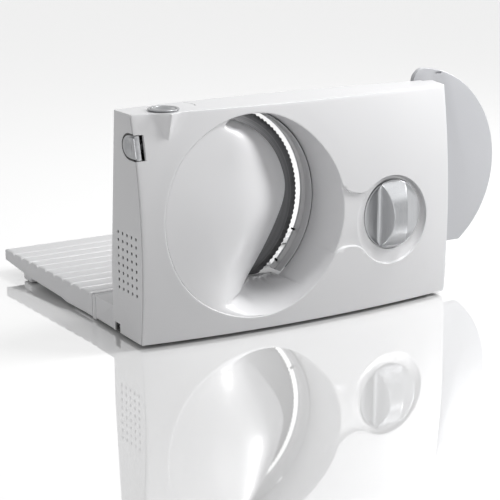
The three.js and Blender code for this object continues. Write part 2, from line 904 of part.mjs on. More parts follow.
function baseFrame() {
  const inside = half - housingWall - seam;
  const plate = between(
    [-inside, inside],
    [basePlateBottom, basePlateTop],
    (x, z) => panelBackY(x, z) + 2 * seam,
    () => blockFront + 1,
    gridColumns,
    1,
  );
  const block = slab([-half, half], [blockFront, blockRear], [skirtBottom, deckTop]);
  const hollow = slab(
    [-inside, inside],
    [blockFront + blockSolid, blockRear - housingWall],
    [skirtBottom - 1, deckTop - housingWall],
  );
  const ears = [-earX, earX].flatMap((x) => {
    const span = [x - earWidth / 2, x + earWidth / 2];
    return [
      bar('x', [hingeY, hingeZ], knuckleRadius, span),
      slab(span, [blockRear - 1, hingeY], [hingeZ - knuckleRadius, hingeZ + knuckleRadius]),
    ];
  });
  const glandPost = slab(
    [glandX - glandWall / 2, glandX + glandWall / 2],
    [notchY - glandRadius - bushWall, notchY + glandRadius + bushWall],
    [basePlateTop - 1, basePlateTop + 2 * glandRadius + 2 * bushWall],
  );
  const bladeRoom = bar(
    'y',
    [bladeX, bladeZ],
    bladeRadius + 2 * plateRoom,
    [rearFlat, bladeRear + bladeStandoff],
    roundFacets,
  );
  const sockets = Object.values(feet).map(([x, y, bottom]) =>
    bar('z', [x, y], footStem + seam, [bottom - 1, bottom + footStemRise + seam], 16),
  );
  const cordGap = slab(
    [-half, glandX - glandWall / 2 - 1],
    [notchY - notchWidth / 2, notchY + notchWidth / 2],
    [skirtBottom, basePlateTop + 1],
  );
  return cut(
    joined(plate, block, ...ears, glandPost),
    hollow,
    bladeRoom,
    ...sockets,
    ...Object.values(baseScrews).map((place) =>
      bar('z', place, screwRadius + seam, [skirtBottom, basePlateTop + 1], 12),
    ),
    bar('x', [hingeY, hingeZ], pinRadius + running, [-half, half]),
    bar('x', [notchY, glandZ], glandRadius + running, [-half, buttonX]),
    cordGap,
  );
}

const glandZ = basePlateTop + glandRadius + bushWall;

function foot(place) {
  const [x, y, bottom] = place;
  return turned('z', [x, y], [
    [0, 0],
    [footRadius - 1, 0],
    [footRadius, 1],
    [footRadius, bottom - seam],
    [footStem, bottom - seam],
    [footStem, bottom + footStemRise],
    [0, bottom + footStemRise],
  ], 16);
}

function cordGland() {
  const flange = glandRadius + 1.4;
  const face = glandWall / 2 + seam;
  return turned('x', [notchY, glandZ], [
    [glandBore, glandX - face - 2],
    [flange, glandX - face - 2],
    [flange, glandX - face],
    [glandRadius, glandX - face],
    [glandRadius, glandX + face],
    [glandRadius + running, glandX + face],
    [glandRadius + running, glandX + face + 2],
    [glandBore, glandX + face + 2],
    [glandBore, glandX - face - 2],
  ], 16);
}

// Blade and drive
function bladeDisc() {
  return sleeve('y', [bladeX, bladeZ], bladeBore, bladeRadius, [bladeFront, bladeRear], roundFacets);
}

function bladeAxle() {
  const flangeRear = bladeFront - seam;
  const flangeFront = flangeRear - axleFlangeThick;
  const pilotEnd = bladeRear + seam / 2;
  return turned('y', [bladeX, bladeZ], [
    [0, axleFront],
    [axleRadius, axleFront],
    [axleRadius, flangeFront],
    [axleFlange, flangeFront],
    [axleFlange, flangeRear],
    [bladeBore - seam, flangeRear],
    [bladeBore - seam, pilotEnd],
    [axleStud, pilotEnd],
    [axleStud, pilotEnd + axleStudLength],
    [0, pilotEnd + axleStudLength],
  ]);
}

function bladeLock() {
  const face = bladeRear + 2 * seam;
  const hole = face + axleStudLength + seam;
  const cap = turned('y', [bladeX, bladeZ], [
    [0, hole],
    [axleStud + running, hole],
    [axleStud + running, face],
    [lockRadius, face],
    [lockRadius, face + lockThick - 2],
    [lockRadius - 2, face + lockThick],
    [0, face + lockThick],
  ]);
  const grip = slab(
    [bladeX - lockRadius + 3, bladeX + lockRadius - 3],
    [face + lockThick - 1, face + lockThick + lockGrip],
    [bladeZ - lockGrip / 2, bladeZ + lockGrip / 2],
  );
  return cap.add(grip);
}

function wormWheel() {
  const twist = gearPitch / (2 * Math.PI * wormPitchRadius * wheelPitchRadius);
  const pitchAngle = (2 * Math.PI) / wheelTeeth;
  const width = gearPitch * toothShare;
  const tip = wheelPitchRadius + addendum;
  const root = wheelPitchRadius - dedendum;
  const tipHalf = (width / 2 - addendum * flankSlope) / tip;
  const rootHalf = (width / 2 + dedendum * flankSlope) / root;
  const section = (y) => {
    const loop = [];
    for (let i = 0; i < wheelTeeth; i += 1) {
      // A gap faces the worm, so the first tooth stands half a pitch away from it.
      const middle = (i + 0.5) * pitchAngle + twist * (y - motorY);
      [[root, -rootHalf], [tip, -tipHalf], [tip, tipHalf], [root, rootHalf]].forEach(([radius, off]) => {
        const turn = middle + off;
        loop.push(new THREE.Vector3(
          bladeX - radius * Math.sin(turn),
          y,
          bladeZ - radius * Math.cos(turn),
        ));
      });
    }
    return loop;
  };
  const wheel = sweep([section(wheelFront), section(wheelFront + wheelWidth)]);
  const hubRear = rearFlat - axleBushLength + 1 - 2 * seam;
  const hub = bar('y', [bladeX, bladeZ], wheelHub, [wheelFront - 1, hubRear]);
  return wheel.add(hub).subtract(
    bar('y', [bladeX, bladeZ], axleRadius + running, [axleFront, rearFlat]),
  );
}

function armatureShaft() {
  const left = leftBracketX - 1;
  const right = bearingX + bearingBlock;
  const root = wormPitchRadius - dedendum;
  const tip = wormPitchRadius + addendum;
  const width = gearPitch * toothShare;
  const [rootHalf, tipHalf] = [width / 2 + dedendum * flankSlope, width / 2 - addendum * flankSlope];
  const stepsPerTurn = 12;
  const steps = wormTurns * stepsPerTurn;
  const sections = [];
  for (let i = 0; i <= steps; i += 1) {
    // A thread's crest stands at the top of the worm, under the middle of the wheel.
    const turn = (2 * Math.PI * (i - steps / 2)) / stepsPerTurn;
    const x = bladeX + (gearPitch * turn) / (2 * Math.PI);
    const angle = turn + Math.PI / 2;
    const at = (radius, off) => new THREE.Vector3(
      x + off,
      motorY + radius * Math.cos(angle),
      motorZ + radius * Math.sin(angle),
    );
    const sunk = root - 1;
    sections.push([at(sunk, -rootHalf), at(root, -rootHalf), at(tip, -tipHalf), at(tip, tipHalf),
      at(root, rootHalf), at(sunk, rootHalf)]);
  }
  return joined(
    bar('x', [motorY, motorZ], shaftRadius, [left, right]),
    bar('x', [motorY, motorZ], root, [bladeX - wormHalf, bladeX + wormHalf]),
    sweep(sections),
  );
}

function statorStack() {
  return sleeve('x', [motorY, motorZ], statorBore, statorRadius, [statorLeft, statorRight], 24);
}

function armatureCore() {
  const radius = statorBore - airGap;
  return sleeve('x', [motorY, motorZ], shaftRadius + running, radius, [statorLeft, statorRight]);
}

function commutator() {
  const from = statorRight + 2;
  const span = [from, from + commutatorLength];
  return sleeve('x', [motorY, motorZ], shaftRadius + running, commutatorRadius, span);
}

function coolingFan() {
  const right = statorLeft - 2;
  const left = right - fanThick;
  const disc = bar('x', [motorY, motorZ], fanRadius, [right - 1.5, right]);
  const blades = Array.from({ length: fanBlades }, (_, i) => {
    const vane = new THREE.BoxGeometry(fanThick, fanRadius - 1, 1.2);
    vane.translate(0, (fanRadius - 1) / 2, 0);
    vane.rotateX((2 * Math.PI * i) / fanBlades);
    vane.translate((left + right) / 2, motorY, motorZ);
    return solid(vane);
  });
  return cut(
    joined(disc, bar('x', [motorY, motorZ], shaftRadius + bushWall, [left, right]), ...blades),
    bar('x', [motorY, motorZ], shaftRadius + running, [left - 1, right + 1]),
  );
}

// An end plate of the motor on its leg, with two posts that reach the stator.
function motorBracket(from, postTo) {
  const to = from + bracketThick;
  const leg = slab(
    [from, to],
    [motorY - bracketHalf, motorY + bracketHalf],
    [basePlateTop + seam, motorZ],
  );
  const head = slab(
    [from, to],
    [motorY - postOffset - bushWall - 1, motorY + postOffset + bushWall + 1],
    [motorZ - bracketHalf, motorZ + bracketHead],
  );
  const reach = [Math.min(from + 1, postTo), Math.max(to - 1, postTo)];
  const posts = [-postOffset, postOffset].map((off) =>
    bar('x', [motorY + off, motorZ], postRadius, reach, 12),
  );
  const hole = bar('x', [motorY, motorZ], shaftRadius + bushWall + running, [from - 1, to + 1]);
  return joined(leg, head, ...posts).subtract(hole);
}

function shaftBush(from, length) {
  return sleeve(
    'x',
    [motorY, motorZ],
    shaftRadius + running,
    shaftRadius + bushWall,
    [from, from + length],
    16,
  );
}

function wormBearing() {
  const reach = shaftRadius + running + bearingWall;
  const body = slab(
    [bearingX, bearingX + bearingBlock],
    [motorY - reach, rearFlat - housingWall - seam],
    [motorZ - 2 * reach, motorZ + reach],
  );
  const hole = [bearingX - 1, bearingX + bearingBlock + 1];
  return body.subtract(bar('x', [motorY, motorZ], shaftRadius + running, hole));
}

// Thickness setting
function thicknessKnob() {
  const back = cupFloor - seam;
  const rim = back - knobRim;
  const disc = turned('y', [knobX, knobZ], [
    [0, rim],
    [knobRadius - 1, rim],
    [knobRadius, rim + 1],
    [knobRadius, back],
    [0, back],
  ], 36);
  const arcRadius = (knobRadius ** 2 + gripRise ** 2) / (2 * gripRise);
  const steps = 14;
  const sections = [];
  for (let i = 0; i <= steps; i += 1) {
    const up = knobRadius * ((2 * i) / steps - 1);
    const rise = Math.sqrt(arcRadius ** 2 - up * up) - arcRadius + gripRise;
    const top = gripFoot - gripSlope * rise;
    const at = (off, y) => new THREE.Vector3(knobX + off, y, knobZ + up);
    sections.push([at(-gripFoot, back), at(gripFoot, back), at(top, rim - rise), at(-top, rim - rise)]);
  }
  const round = bar('y', [knobX, knobZ], knobRadius - 0.5, [rim - 2 * gripRise, back], 36);
  const socket = bar('y', [knobX, knobZ], camShaft + running, [back - cupDepth, back + 1]);
  return joined(disc, sweep(sections).intersect(round)).subtract(socket);
}

function knobCam() {
  const frontEnd = cupFloor - cupDepth;
  const rearEnd = pocketY - housingWall - 1;
  const hubFront = cupFloor + panelWall + seam;
  const steps = 24;
  const [first, lastTurn] = [-20, camTurn + 20];
  const sections = [];
  for (let i = 0; i <= steps; i += 1) {
    const degrees = first + ((lastTurn - first) * i) / steps;
    const share = THREE.MathUtils.clamp(degrees / camTurn, 0, 1);
    const top = camHigh - plateTravel * share;
    const turn = THREE.MathUtils.degToRad(degrees);
    const at = (radius, y) => new THREE.Vector3(
      knobX - radius * Math.sin(turn),
      y,
      knobZ + radius * Math.cos(turn),
    );
    const bottom = camDisc + 1;
    sections.push([at(camInner, bottom), at(camOuter, bottom), at(camOuter, top), at(camInner, top)]);
  }
  return joined(
    bar('y', [knobX, knobZ], camShaft, [frontEnd, rearEnd]),
    bar('y', [knobX, knobZ], camShaft + bushWall, [hubFront, camHigh]),
    bar('y', [knobX, knobZ], camOuter + 1, [camDisc, camDisc + camDiscThick], 36),
    sweep(sections),
  );
}

function plateOutline() {
  const low = THREE.MathUtils.degToRad(collarLow);
  const high = THREE.MathUtils.degToRad(collarHigh);
  const radius = collarInner + collarWall / 2;
  const left = half + 2 * seam;
  const lobeTop = Math.acos((left + plateCorner - plateLobeX) / plateLobeRadius);
  const lobeEnd = Math.asin((plateBottom - plateLobeZ) / plateLobeRadius);
  const cornerZ = plateLobeZ + plateLobeRadius * Math.sin(lobeTop) - plateCorner;
  const shape = new THREE.Shape();
  shape.absarc(boreX, boreZ, radius, low, high, false);
  shape.lineTo(left, plateTop);
  shape.absarc(left + plateCorner, cornerZ, plateCorner, Math.PI, Math.PI / 2, true);
  shape.absarc(plateLobeX, plateLobeZ, plateLobeRadius, lobeTop, lobeEnd, true);
  shape.lineTo(boreX + radius * Math.cos(low) + pocketMargin, plateBottom);
  shape.closePath();
  return shape;
}

function stopPlate() {
  const plate = extruded('y', plateOutline(), [plateFront, bladeRear], 14);
  const strip = extruded('y', plateOutline(), [plateFront - plateRibThick, plateFront + 1], 14).intersect(
    slab(
      [half + seam, half + plateRibWidth],
      [pocketY, bladeRear],
      [plateBottom, plateLobeZ + plateLobeRadius],
    ),
  );
  const steps = 14;
  const sections = [];
  for (let i = 0; i <= steps; i += 1) {
    const turn = THREE.MathUtils.degToRad(collarLow + ((collarHigh - collarLow) * i) / steps);
    const at = (radius, y) => new THREE.Vector3(
      boreX + radius * Math.cos(turn),
      y,
      boreZ + radius * Math.sin(turn),
    );
    const outer = collarInner + collarWall;
    const mid = (collarFront + bladeRear) / 2;
    sections.push([
      at(outer, collarFront),
      at(outer, bladeRear),
      at(collarInner, bladeRear),
      at(collarInner, mid),
      at(collarInner + collarLead, collarFront),
    ]);
  }
  const follower = turned('y', [knobX, knobZ + (camInner + camOuter) / 2], [
    [0, camHigh + seam],
    [followerTip, camHigh + seam],
    [followerRadius, camHigh + seam + 2 * followerRadius],
    [followerRadius, plateFront + 1],
    [0, plateFront + 1],
  ], 16);
  return joined(plate, strip, sweep(sections), follower);
}

function guideRod(place) {
  return turned('y', place, [
    [0, rodFront],
    [rodHead, rodFront],
    [rodHead, rodFront + rodHeadThick],
    [rodRadius, rodFront + rodHeadThick],
    [rodRadius, plateFront - seam],
    [0, plateFront - seam],
  ], 16);
}

function guideBush(place) {
  const span = [pocketY - rodBushLength, pocketY];
  return sleeve('y', place, rodRadius + running, rodRadius + bushWall, span);
}

function guideSpring(place) {
  const span = [rodFront + rodHeadThick + seam, pocketY - rodBushLength - seam];
  return spring('y', place, rodRadius + running + 2 * springWire, span, 4);
}

// Top button, safety key and switch
function onButton() {
  const top = housingTop + bezelThick;
  const stemEnd = switchTop + buttonTravel + seam;
  return turned('z', [buttonX, buttonY], [
    [0, top - 1.6],
    [buttonRadius - 6, top - 1.2],
    [buttonRadius - 2, top - 0.2],
    [buttonRadius, top - 0.6],
    [buttonRadius, top - buttonCap],
    [buttonStem, top - buttonCap],
    [buttonStem, stemEnd],
    [0, stemEnd],
  ], 24);
}

function buttonBezel() {
  const base = housingTop + seam;
  const top = housingTop + bezelThick;
  return turned('z', [buttonX, buttonY], [
    [buttonRadius + seam, base],
    [bezelRadius, base],
    [bezelRadius, top - 0.8],
    [bezelRadius - 0.8, top],
    [buttonRadius + seam, top],
    [buttonRadius + seam, base],
  ], 24);
}

function buttonSpring() {
  const from = shelfTop + seam;
  return spring('z', [buttonX, buttonY], buttonStem + 3 * springWire, [from, from + buttonSpringLength], 4);
}

function safetyKey() {
  const face = extruded('x', keyOutline(0), [-half - keyProud, keyInner], 10);
  const reach = keyInner + keyStemLength;
  const stem = bar('x', [keyStemY, keyZ], keyStem, [keyInner - 1, reach], 16);
  const clipX = keyRibX + keyRib + seam;
  const clip = bar('x', [keyStemY, keyZ], keyClip, [clipX, clipX + keyRib], 16);
  const dimple = new THREE.SphereGeometry(keyHeight, 24, 16);
  dimple.translate(-half - keyProud - keyHeight + 1.6, keyStemY - 2, keyZ);
  return joined(face, stem, clip).subtract(solid(dimple));
}

function keySpring() {
  return spring('x', [keyStemY, keyZ], keyStem + 3 * springWire, [keyInner + seam, keyRibX - seam], 4);
}

function switchBody() {
  return slab(
    [buttonX - switchWidth / 2, buttonX + switchWidth / 2],
    [buttonY - switchDepth / 2, buttonY + switchDepth / 2],
    [switchTop - switchHeight, switchTop],
  );
}

function terminalBlock() {
  const middle = (statorLeft + statorRight) / 2;
  const [width, depth, height] = [24, 12, 10];
  const body = slab(
    [middle - width / 2, middle + width / 2],
    [motorY - depth / 2, motorY + depth / 2],
    [basePlateTop + seam, basePlateTop + seam + height],
  );
  const wireHoles = [-1, 0, 1].map((place) =>
    bar('y', [middle + (place * width) / 3.2, basePlateTop + height / 2], 1.8, [0, 2 * motorY], 10),
  );
  return cut(body, ...wireHoles);
}

function panelScrew([x, z]) {
  const seat = screwRear(x, z) - screwSeat + seam;
  return turned('y', [x, z], [
    [0, seat - screwLength],
    [screwRadius, seat - screwLength],
    [screwRadius, seat],
    [screwHead, seat],
    [screwHead, seat + screwHeadThick],
    [0, seat + screwHeadThick],
  ], 12);
}

function baseScrew(place) {
  const seat = basePlateBottom - seam;
  return turned('z', place, [
    [0, seat - baseClearance + seam],
    [screwHead, seat - baseClearance + seam],
    [screwHead, seat],
    [screwRadius, seat],
    [screwRadius, seat + screwLength],
    [0, seat + screwLength],
  ], 12);
}

// Folding table and carriage
function foldingTable() {
  const wallNear = hingeY + running;
  const nearShape = new THREE.Shape();
  nearShape.moveTo(-tableHalf, wallNear);
  nearShape.lineTo(tableHalf, wallNear);
  const [cornerX, cornerY] = [tableHalf - tableCorner, tableNear - tableCorner];
  nearShape.absarc(cornerX, cornerY, tableCorner, 0, Math.PI / 2, false);
  nearShape.absarc(-cornerX, cornerY, tableCorner, Math.PI / 2, Math.PI, false);
  nearShape.closePath();
  const rail = (y, foot) => {
    const [stem, head] = [railStem / 2, railHead / 2];
    const top = deckUnder - seam;
    return extruded('x', outline([
      [y - stem, foot - 1],
      [y + stem, foot - 1],
      [y + stem, railHeadBottom],
      [y + head, railHeadBottom],
      [y + head, top],
      [y - head, top],
      [y - head, railHeadBottom],
      [y - stem, railHeadBottom],
    ]), [railLeft, railRight]);
  };
  const earGaps = [-earX, earX].map((x) =>
    slab(
      [x - earWidth / 2 - seam, x + earWidth / 2 + seam],
      [blockRear, carriageNear],
      [hingeZ - knuckleRadius - lipPlay, deckTop],
    ),
  );
  const pinHoles = [-earX, earX].map((x) => {
    const span = [x - pinLength / 2 - 1, x + pinLength / 2 + 1];
    return bar('x', [hingeY, hingeZ], pinRadius + running, span);
  });
  const sockets = [-padX, padX].flatMap((x) => {
    const centre = [x, (legNear + legFar) / 2];
    return [
      bar('z', centre, padRadius + seam, [0, padHeight + seam]),
      bar('z', centre, footStem + seam, [0, padHeight + footStem + seam], 16),
    ];
  });
  return cut(
    joined(
      extruded('z', nearShape, [tableClear, tableTop], 6),
      slab([-tableNarrow, tableNarrow], [tableNear - 1, legNear + 1], [tableClear, tableTop]),
      slab([-legHalf, legHalf], [legNear, legFar], [tableClear, legTop]),
      slab([-tableHalf, tableHalf], [wallNear, hingeY + knuckleRadius], [tableClear, hingeZ]),
      bar('x', [hingeY, hingeZ], knuckleRadius, [-tableHalf, tableHalf]),
      rail(railNearY, tableTop),
      rail(railFarY, legTop),
    ),
    ...earGaps,
    ...sockets,
    ...pinHoles,
  );
}

function hingePin(x) {
  return bar('x', [hingeY, hingeZ], pinRadius, [x - pinLength / 2, x + pinLength / 2], 16);
}

function tablePad(x) {
  return turned('z', [x, (legNear + legFar) / 2], [
    [0, 0],
    [padRadius, 0],
    [padRadius, padHeight],
    [footStem, padHeight],
    [footStem, padHeight + footStem],
    [0, padHeight + footStem],
  ], 16);
}

function carriageDeck() {
  const points = [[carriageNear, deckUnder]];
  const pitch = (carriageFar - carriageNear) / ribCount;
  const stepsPerRib = 6;
  for (let i = 0; i <= ribCount * stepsPerRib; i += 1) {
    const across = ((i % stepsPerRib) / stepsPerRib) * 2 - 1;
    const y = carriageNear + (pitch * i) / stepsPerRib;
    points.push([y, deckTop - ribDepth * across * across]);
  }
  points.push([carriageFar, farSkirtBottom]);
  points.push([carriageFar - skirtWall, farSkirtBottom]);
  points.push([carriageFar - skirtWall, deckUnder]);
  const lipTop = railHeadBottom - lipPlay;
  const lipBottom = lipTop - lipHeight;
  const slot = railStem / 2 + lipPlay;
  const room = railHead / 2 + lipPlay;
  [railFarY, railNearY].forEach((y) => {
    const channel = [
      [room + lipWall, deckUnder],
      [room + lipWall, lipBottom],
      [slot, lipBottom],
      [slot, lipTop],
      [room, lipTop],
      [room, deckUnder],
    ];
    channel.forEach(([off, z]) => points.push([y + off, z]));
    channel.reverse().forEach(([off, z]) => points.push([y - off, z]));
  });
  const span = [carriageLeft - carriageFlare, carriageRight + carriageFlare];
  const skirt = outline([
    [carriageNear, tableTop + lipPlay],
    [skirtDeepTo, tableTop + lipPlay],
    [skirtStepTo, tableTop + lipPlay + skirtStepRise],
    [skirtMidY, tableTop + lipPlay + skirtMidRise],
    [carriageFar, farSkirtBottom],
    [carriageFar, deckUnder + 1],
    [carriageNear, deckUnder + 1],
  ]);
  const plan = (inset) => extruded('z', outline([
    [carriageLeft + inset, carriageNear - 1],
    [carriageRight - inset, carriageNear - 1],
    [carriageRight + carriageFlare - inset, carriageFar + 1],
    [carriageLeft - carriageFlare + inset, carriageFar + 1],
  ]), [0, deckTop + 1]);
  const rim = plan(0).subtract(plan(skirtWall));
  const deck = extruded('x', outline(points), span).intersect(plan(0));
  return deck.add(extruded('x', skirt, span).intersect(rim));
}

// Assembly
function named(name, body, colour, roughness, metalness) {
  const material = new THREE.MeshStandardMaterial({ color: colour, roughness, metalness });
  const mesh = new THREE.Mesh(geometryOf(body), material);
  mesh.name = name;
  return mesh;
}

const white = ['#e4e4e6', 0.35, 0];
const silver = ['#b9bbbe', 0.3, 0.9];
const steel = ['#8e9092', 0.25, 1];
const black = ['#1c1c1d', 0.5, 0];
const rubber = ['#2a2a2b', 0.85, 0];
const copper = ['#b06a3c', 0.35, 1];
const bronze = ['#a9803f', 0.4, 1];
const nylon = ['#f0efe8', 0.45, 0];
const clearPlate = ['#c9cbce', 0.3, 0];

function group(...meshes) {
  const holder = new THREE.Group();
  holder.add(...meshes);
  return holder;
}

const housing = group(
  named('front_panel', frontPanel(), ...white),
  named('slice_deflector', sliceDeflector(), ...white),
  named('main_housing', mainHousing(), ...white),
  named('base_frame', baseFrame(), ...white),
  named('button_bezel', buttonBezel(), ...silver),
  named('motor_stator', statorStack(), ...steel),
  named('motor_bracket_left', motorBracket(leftBracketX, statorLeft - seam), ...steel),
  named('motor_bracket_right', motorBracket(rightBracketX, statorRight + seam), ...steel),
  named('shaft_bush_left', shaftBush(leftBracketX, bracketThick), ...bronze),
  named('shaft_bush_right', shaftBush(rightBracketX, bracketThick), ...bronze),
  named('worm_bearing', wormBearing(), ...nylon),
  named('axle_bush', sleeve(
    'y',
    [bladeX, bladeZ],
    axleRadius + running,
    axleRadius + bushWall,
    [rearFlat - axleBushLength + 1, rearFlat + 1 - seam],
  ), ...bronze),
  named('switch_body', switchBody(), ...black),
  named('terminal_block', terminalBlock(), ...nylon),
  named('cord_gland', cordGland(), ...rubber),
);
Object.entries(feet).forEach(([place, at]) => {
  housing.add(named(`${place}_foot`, foot(at), ...rubber));
});
Object.entries(panelScrews).forEach(([place, at]) => {
  housing.add(named(`panel_screw_${place}`, panelScrew(at), ...steel));
});
Object.entries(baseScrews).forEach(([place, at]) => {
  housing.add(named(`base_screw_${place}`, baseScrew(at), ...steel));
});
Object.entries(rodPlaces).forEach(([place, at]) => {
  housing.add(named(`guide_bush_${place}`, guideBush(at), ...bronze));
});

const bladeGroup = group(
  named('blade', bladeDisc(), ...steel),
  named('blade_axle', bladeAxle(), ...steel),
  named('blade_lock', bladeLock(), ...black),
  named('worm_wheel', wormWheel(), ...nylon),
);

const rotorGroup = group(
  named('armature_shaft', armatureShaft(), ...steel),
  named('armature_core', armatureCore(), ...steel),
  named('commutator', commutator(), ...copper),
  named('cooling_fan', coolingFan(), ...nylon),
);

const knobGroup = group(
  named('thickness_knob', thicknessKnob(), ...silver),
  named('knob_cam', knobCam(), ...nylon),
);

const plateGroup = group(named('stop_plate', stopPlate(), ...clearPlate));
Object.entries(rodPlaces).forEach(([place, at]) => {
  plateGroup.add(named(`guide_rod_${place}`, guideRod(at), ...steel));
  plateGroup.add(named(`guide_spring_${place}`, guideSpring(at), ...steel));
});

const buttonGroup = group(
  named('on_button', onButton(), ...silver),
  named('button_spring', buttonSpring(), ...steel),
);

const keyGroup = group(
  named('safety_key', safetyKey(), ...silver),
  named('key_spring', keySpring(), ...steel),
);

const tableGroup = group(
  named('folding_table', foldingTable(), ...white),
  named('hinge_pin_left', hingePin(-earX), ...steel),
  named('hinge_pin_right', hingePin(earX), ...steel),
  named('table_pad_left', tablePad(-padX), ...rubber),
  named('table_pad_right', tablePad(padX), ...rubber),
  group(named('carriage_deck', carriageDeck(), ...white)),
);

// The origin is under the middle of the whole machine, on the surface that it stands on.
const machine = group(
  housing,
  bladeGroup,
  rotorGroup,
  knobGroup,
  plateGroup,
  buttonGroup,
  keyGroup,
  tableGroup,
);
const bounds = new THREE.Box3().setFromObject(machine);
const middle = bounds.getCenter(new THREE.Vector3());
machine.position.set(-middle.x, -middle.y, -bounds.min.z);

const slicer = new THREE.Group();
slicer.add(machine);

export default slicer;
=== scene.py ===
import json
from math import acos, asin, atan2, cos, degrees, hypot, pi, radians, sin, sqrt

import bmesh
import bpy
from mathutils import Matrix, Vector
from mathutils.geometry import delaunay_2d_cdt
from mathutils.kdtree import KDTree


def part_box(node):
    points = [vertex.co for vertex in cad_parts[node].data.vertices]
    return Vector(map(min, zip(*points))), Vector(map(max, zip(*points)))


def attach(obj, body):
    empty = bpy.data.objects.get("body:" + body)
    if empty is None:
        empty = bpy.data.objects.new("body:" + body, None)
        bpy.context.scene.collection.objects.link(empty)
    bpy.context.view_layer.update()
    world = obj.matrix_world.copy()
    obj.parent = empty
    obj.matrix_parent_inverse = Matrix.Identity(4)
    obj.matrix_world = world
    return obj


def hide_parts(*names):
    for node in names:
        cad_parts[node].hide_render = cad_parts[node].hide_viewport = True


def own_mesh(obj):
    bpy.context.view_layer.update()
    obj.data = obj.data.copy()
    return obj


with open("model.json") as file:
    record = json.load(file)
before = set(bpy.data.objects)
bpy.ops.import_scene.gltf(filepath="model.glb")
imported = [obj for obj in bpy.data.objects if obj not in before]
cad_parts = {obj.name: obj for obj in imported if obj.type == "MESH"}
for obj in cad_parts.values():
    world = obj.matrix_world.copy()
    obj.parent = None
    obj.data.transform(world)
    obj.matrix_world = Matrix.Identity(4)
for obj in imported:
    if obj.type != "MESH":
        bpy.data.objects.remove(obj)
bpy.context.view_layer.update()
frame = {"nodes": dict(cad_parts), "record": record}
scene = bpy.context.scene
print("frame loaded")

# Lengths below are millimetres in the machine's own frame: x along the blade's plane, y towards the food
# side, and y = 0 at the front panel's bottom corners. The blade tells where that frame is in the scene.
bladeAxis = (-54.0, 103.0)
bladeRear = 62.0
bladeLow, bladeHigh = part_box("blade")
shiftX = (bladeLow.x + bladeHigh.x) / 2 - bladeAxis[0] / 1000
shiftY = bladeHigh.y - bladeRear / 1000


def toScene(x, y, z):
    return Vector((x / 1000 + shiftX, y / 1000 + shiftY, z / 1000))


def clamp(value, low=0.0, high=1.0):
    return min(max(value, low), high)


def smoothStep(low, high, value):
    share = clamp((value - low) / (high - low))
    return share * share * (3 - 2 * share)


def smoothMax(a, b, soft):
    mix = clamp(0.5 + (a - b) / (2 * soft))
    return b + (a - b) * mix + soft * mix * (1 - mix)


def smoothMin(a, b, soft):
    return -smoothMax(-a, -b, soft)


def filletDrop(distance, radius):
    if distance >= radius:
        return 0.0
    return radius - sqrt(max(0.0, radius ** 2 - (radius - max(distance, 0.0)) ** 2))


# Materials

def linear(hexText):
    channels = [int(hexText[i:i + 2], 16) / 255 for i in (1, 3, 5)]
    bent = [c / 12.92 if c <= 0.04045 else ((c + 0.055) / 1.055) ** 2.4 for c in channels]
    return (*bent, 1.0)


def addNode(material, kind, settings=None, links=None):
    tree = material.node_tree
    node = tree.nodes.new("ShaderNode" + kind)
    for name, value in (settings or {}).items():
        if isinstance(name, str) and hasattr(node, name):
            setattr(node, name, value)
        else:
            node.inputs[name].default_value = value
    for name, socket in (links or {}).items():
        tree.links.new(socket, node.inputs[name])
    return node


def blankMaterial(name):
    material = bpy.data.materials.new(name)
    material.use_nodes = True
    material.node_tree.nodes.clear()
    return material


def closeMaterial(material, surface):
    addNode(material, "OutputMaterial", None, {"Surface": surface.outputs[0]})
    return material


# A surface between two colours whose gloss and fine relief follow its grain: relief is strength and height
def grainedSurface(material, tintBy, grain, colours, gloss, relief, settings):
    tint = addNode(material, "Mix", {"data_type": "RGBA", 6: linear(colours[0]), 7: linear(colours[1])},
                   {"Factor": tintBy})
    shine = addNode(material, "MapRange", {"To Min": gloss[0], "To Max": gloss[1]}, {"Value": grain})
    bump = addNode(material, "Bump", {"Strength": relief[0], "Distance": relief[1] / 1000},
                   {"Height": grain})
    layers = {"Base Color": tint.outputs[2], "Roughness": shine.outputs[0], "Normal": bump.outputs[0]}
    return closeMaterial(material, addNode(material, "BsdfPrincipled", settings, layers))


# Moulded ABS: satin skin, a faint eroded grain and slow waves from the mould
def mouldedAbs(name, colours, roughness, grainMm=0.7, grainHeight=0.02, waveMm=90):
    material = blankMaterial(name)
    place = addNode(material, "TexCoord").outputs["Object"]
    slow = addNode(material, "TexNoise", {"Scale": 1000 / waveMm, "Detail": 2.0}, {"Vector": place})
    grain = addNode(material, "TexNoise", {"Scale": 1000 / grainMm, "Detail": 3.0}, {"Vector": place})
    return grainedSurface(material, slow.outputs["Fac"], grain.outputs["Fac"], colours,
                          (roughness - 0.03, roughness + 0.05), (0.25, grainHeight), {"IOR": 1.53})


# Silver lacquer over ABS with fine upright brushing: aluminium flake in clear varnish
def silverLacquer(name, colours, roughness, brushMm=0.8):
    material = blankMaterial(name)
    place = addNode(material, "TexCoord").outputs["Object"]
    stretch = addNode(material, "Mapping", {"Scale": (1.0, 1.0, 0.03)}, {"Vector": place})
    brush = addNode(material, "TexNoise", {"Scale": 1000 / brushMm, "Detail": 4.0},
                    {"Vector": stretch.outputs[0]}).outputs["Fac"]
    return grainedSurface(material, brush, brush, colours, (roughness - 0.05, roughness + 0.08), (0.12, 0.03),
                          {"Metallic": 0.85, "Coat Weight": 0.2, "Coat Roughness": 0.15})


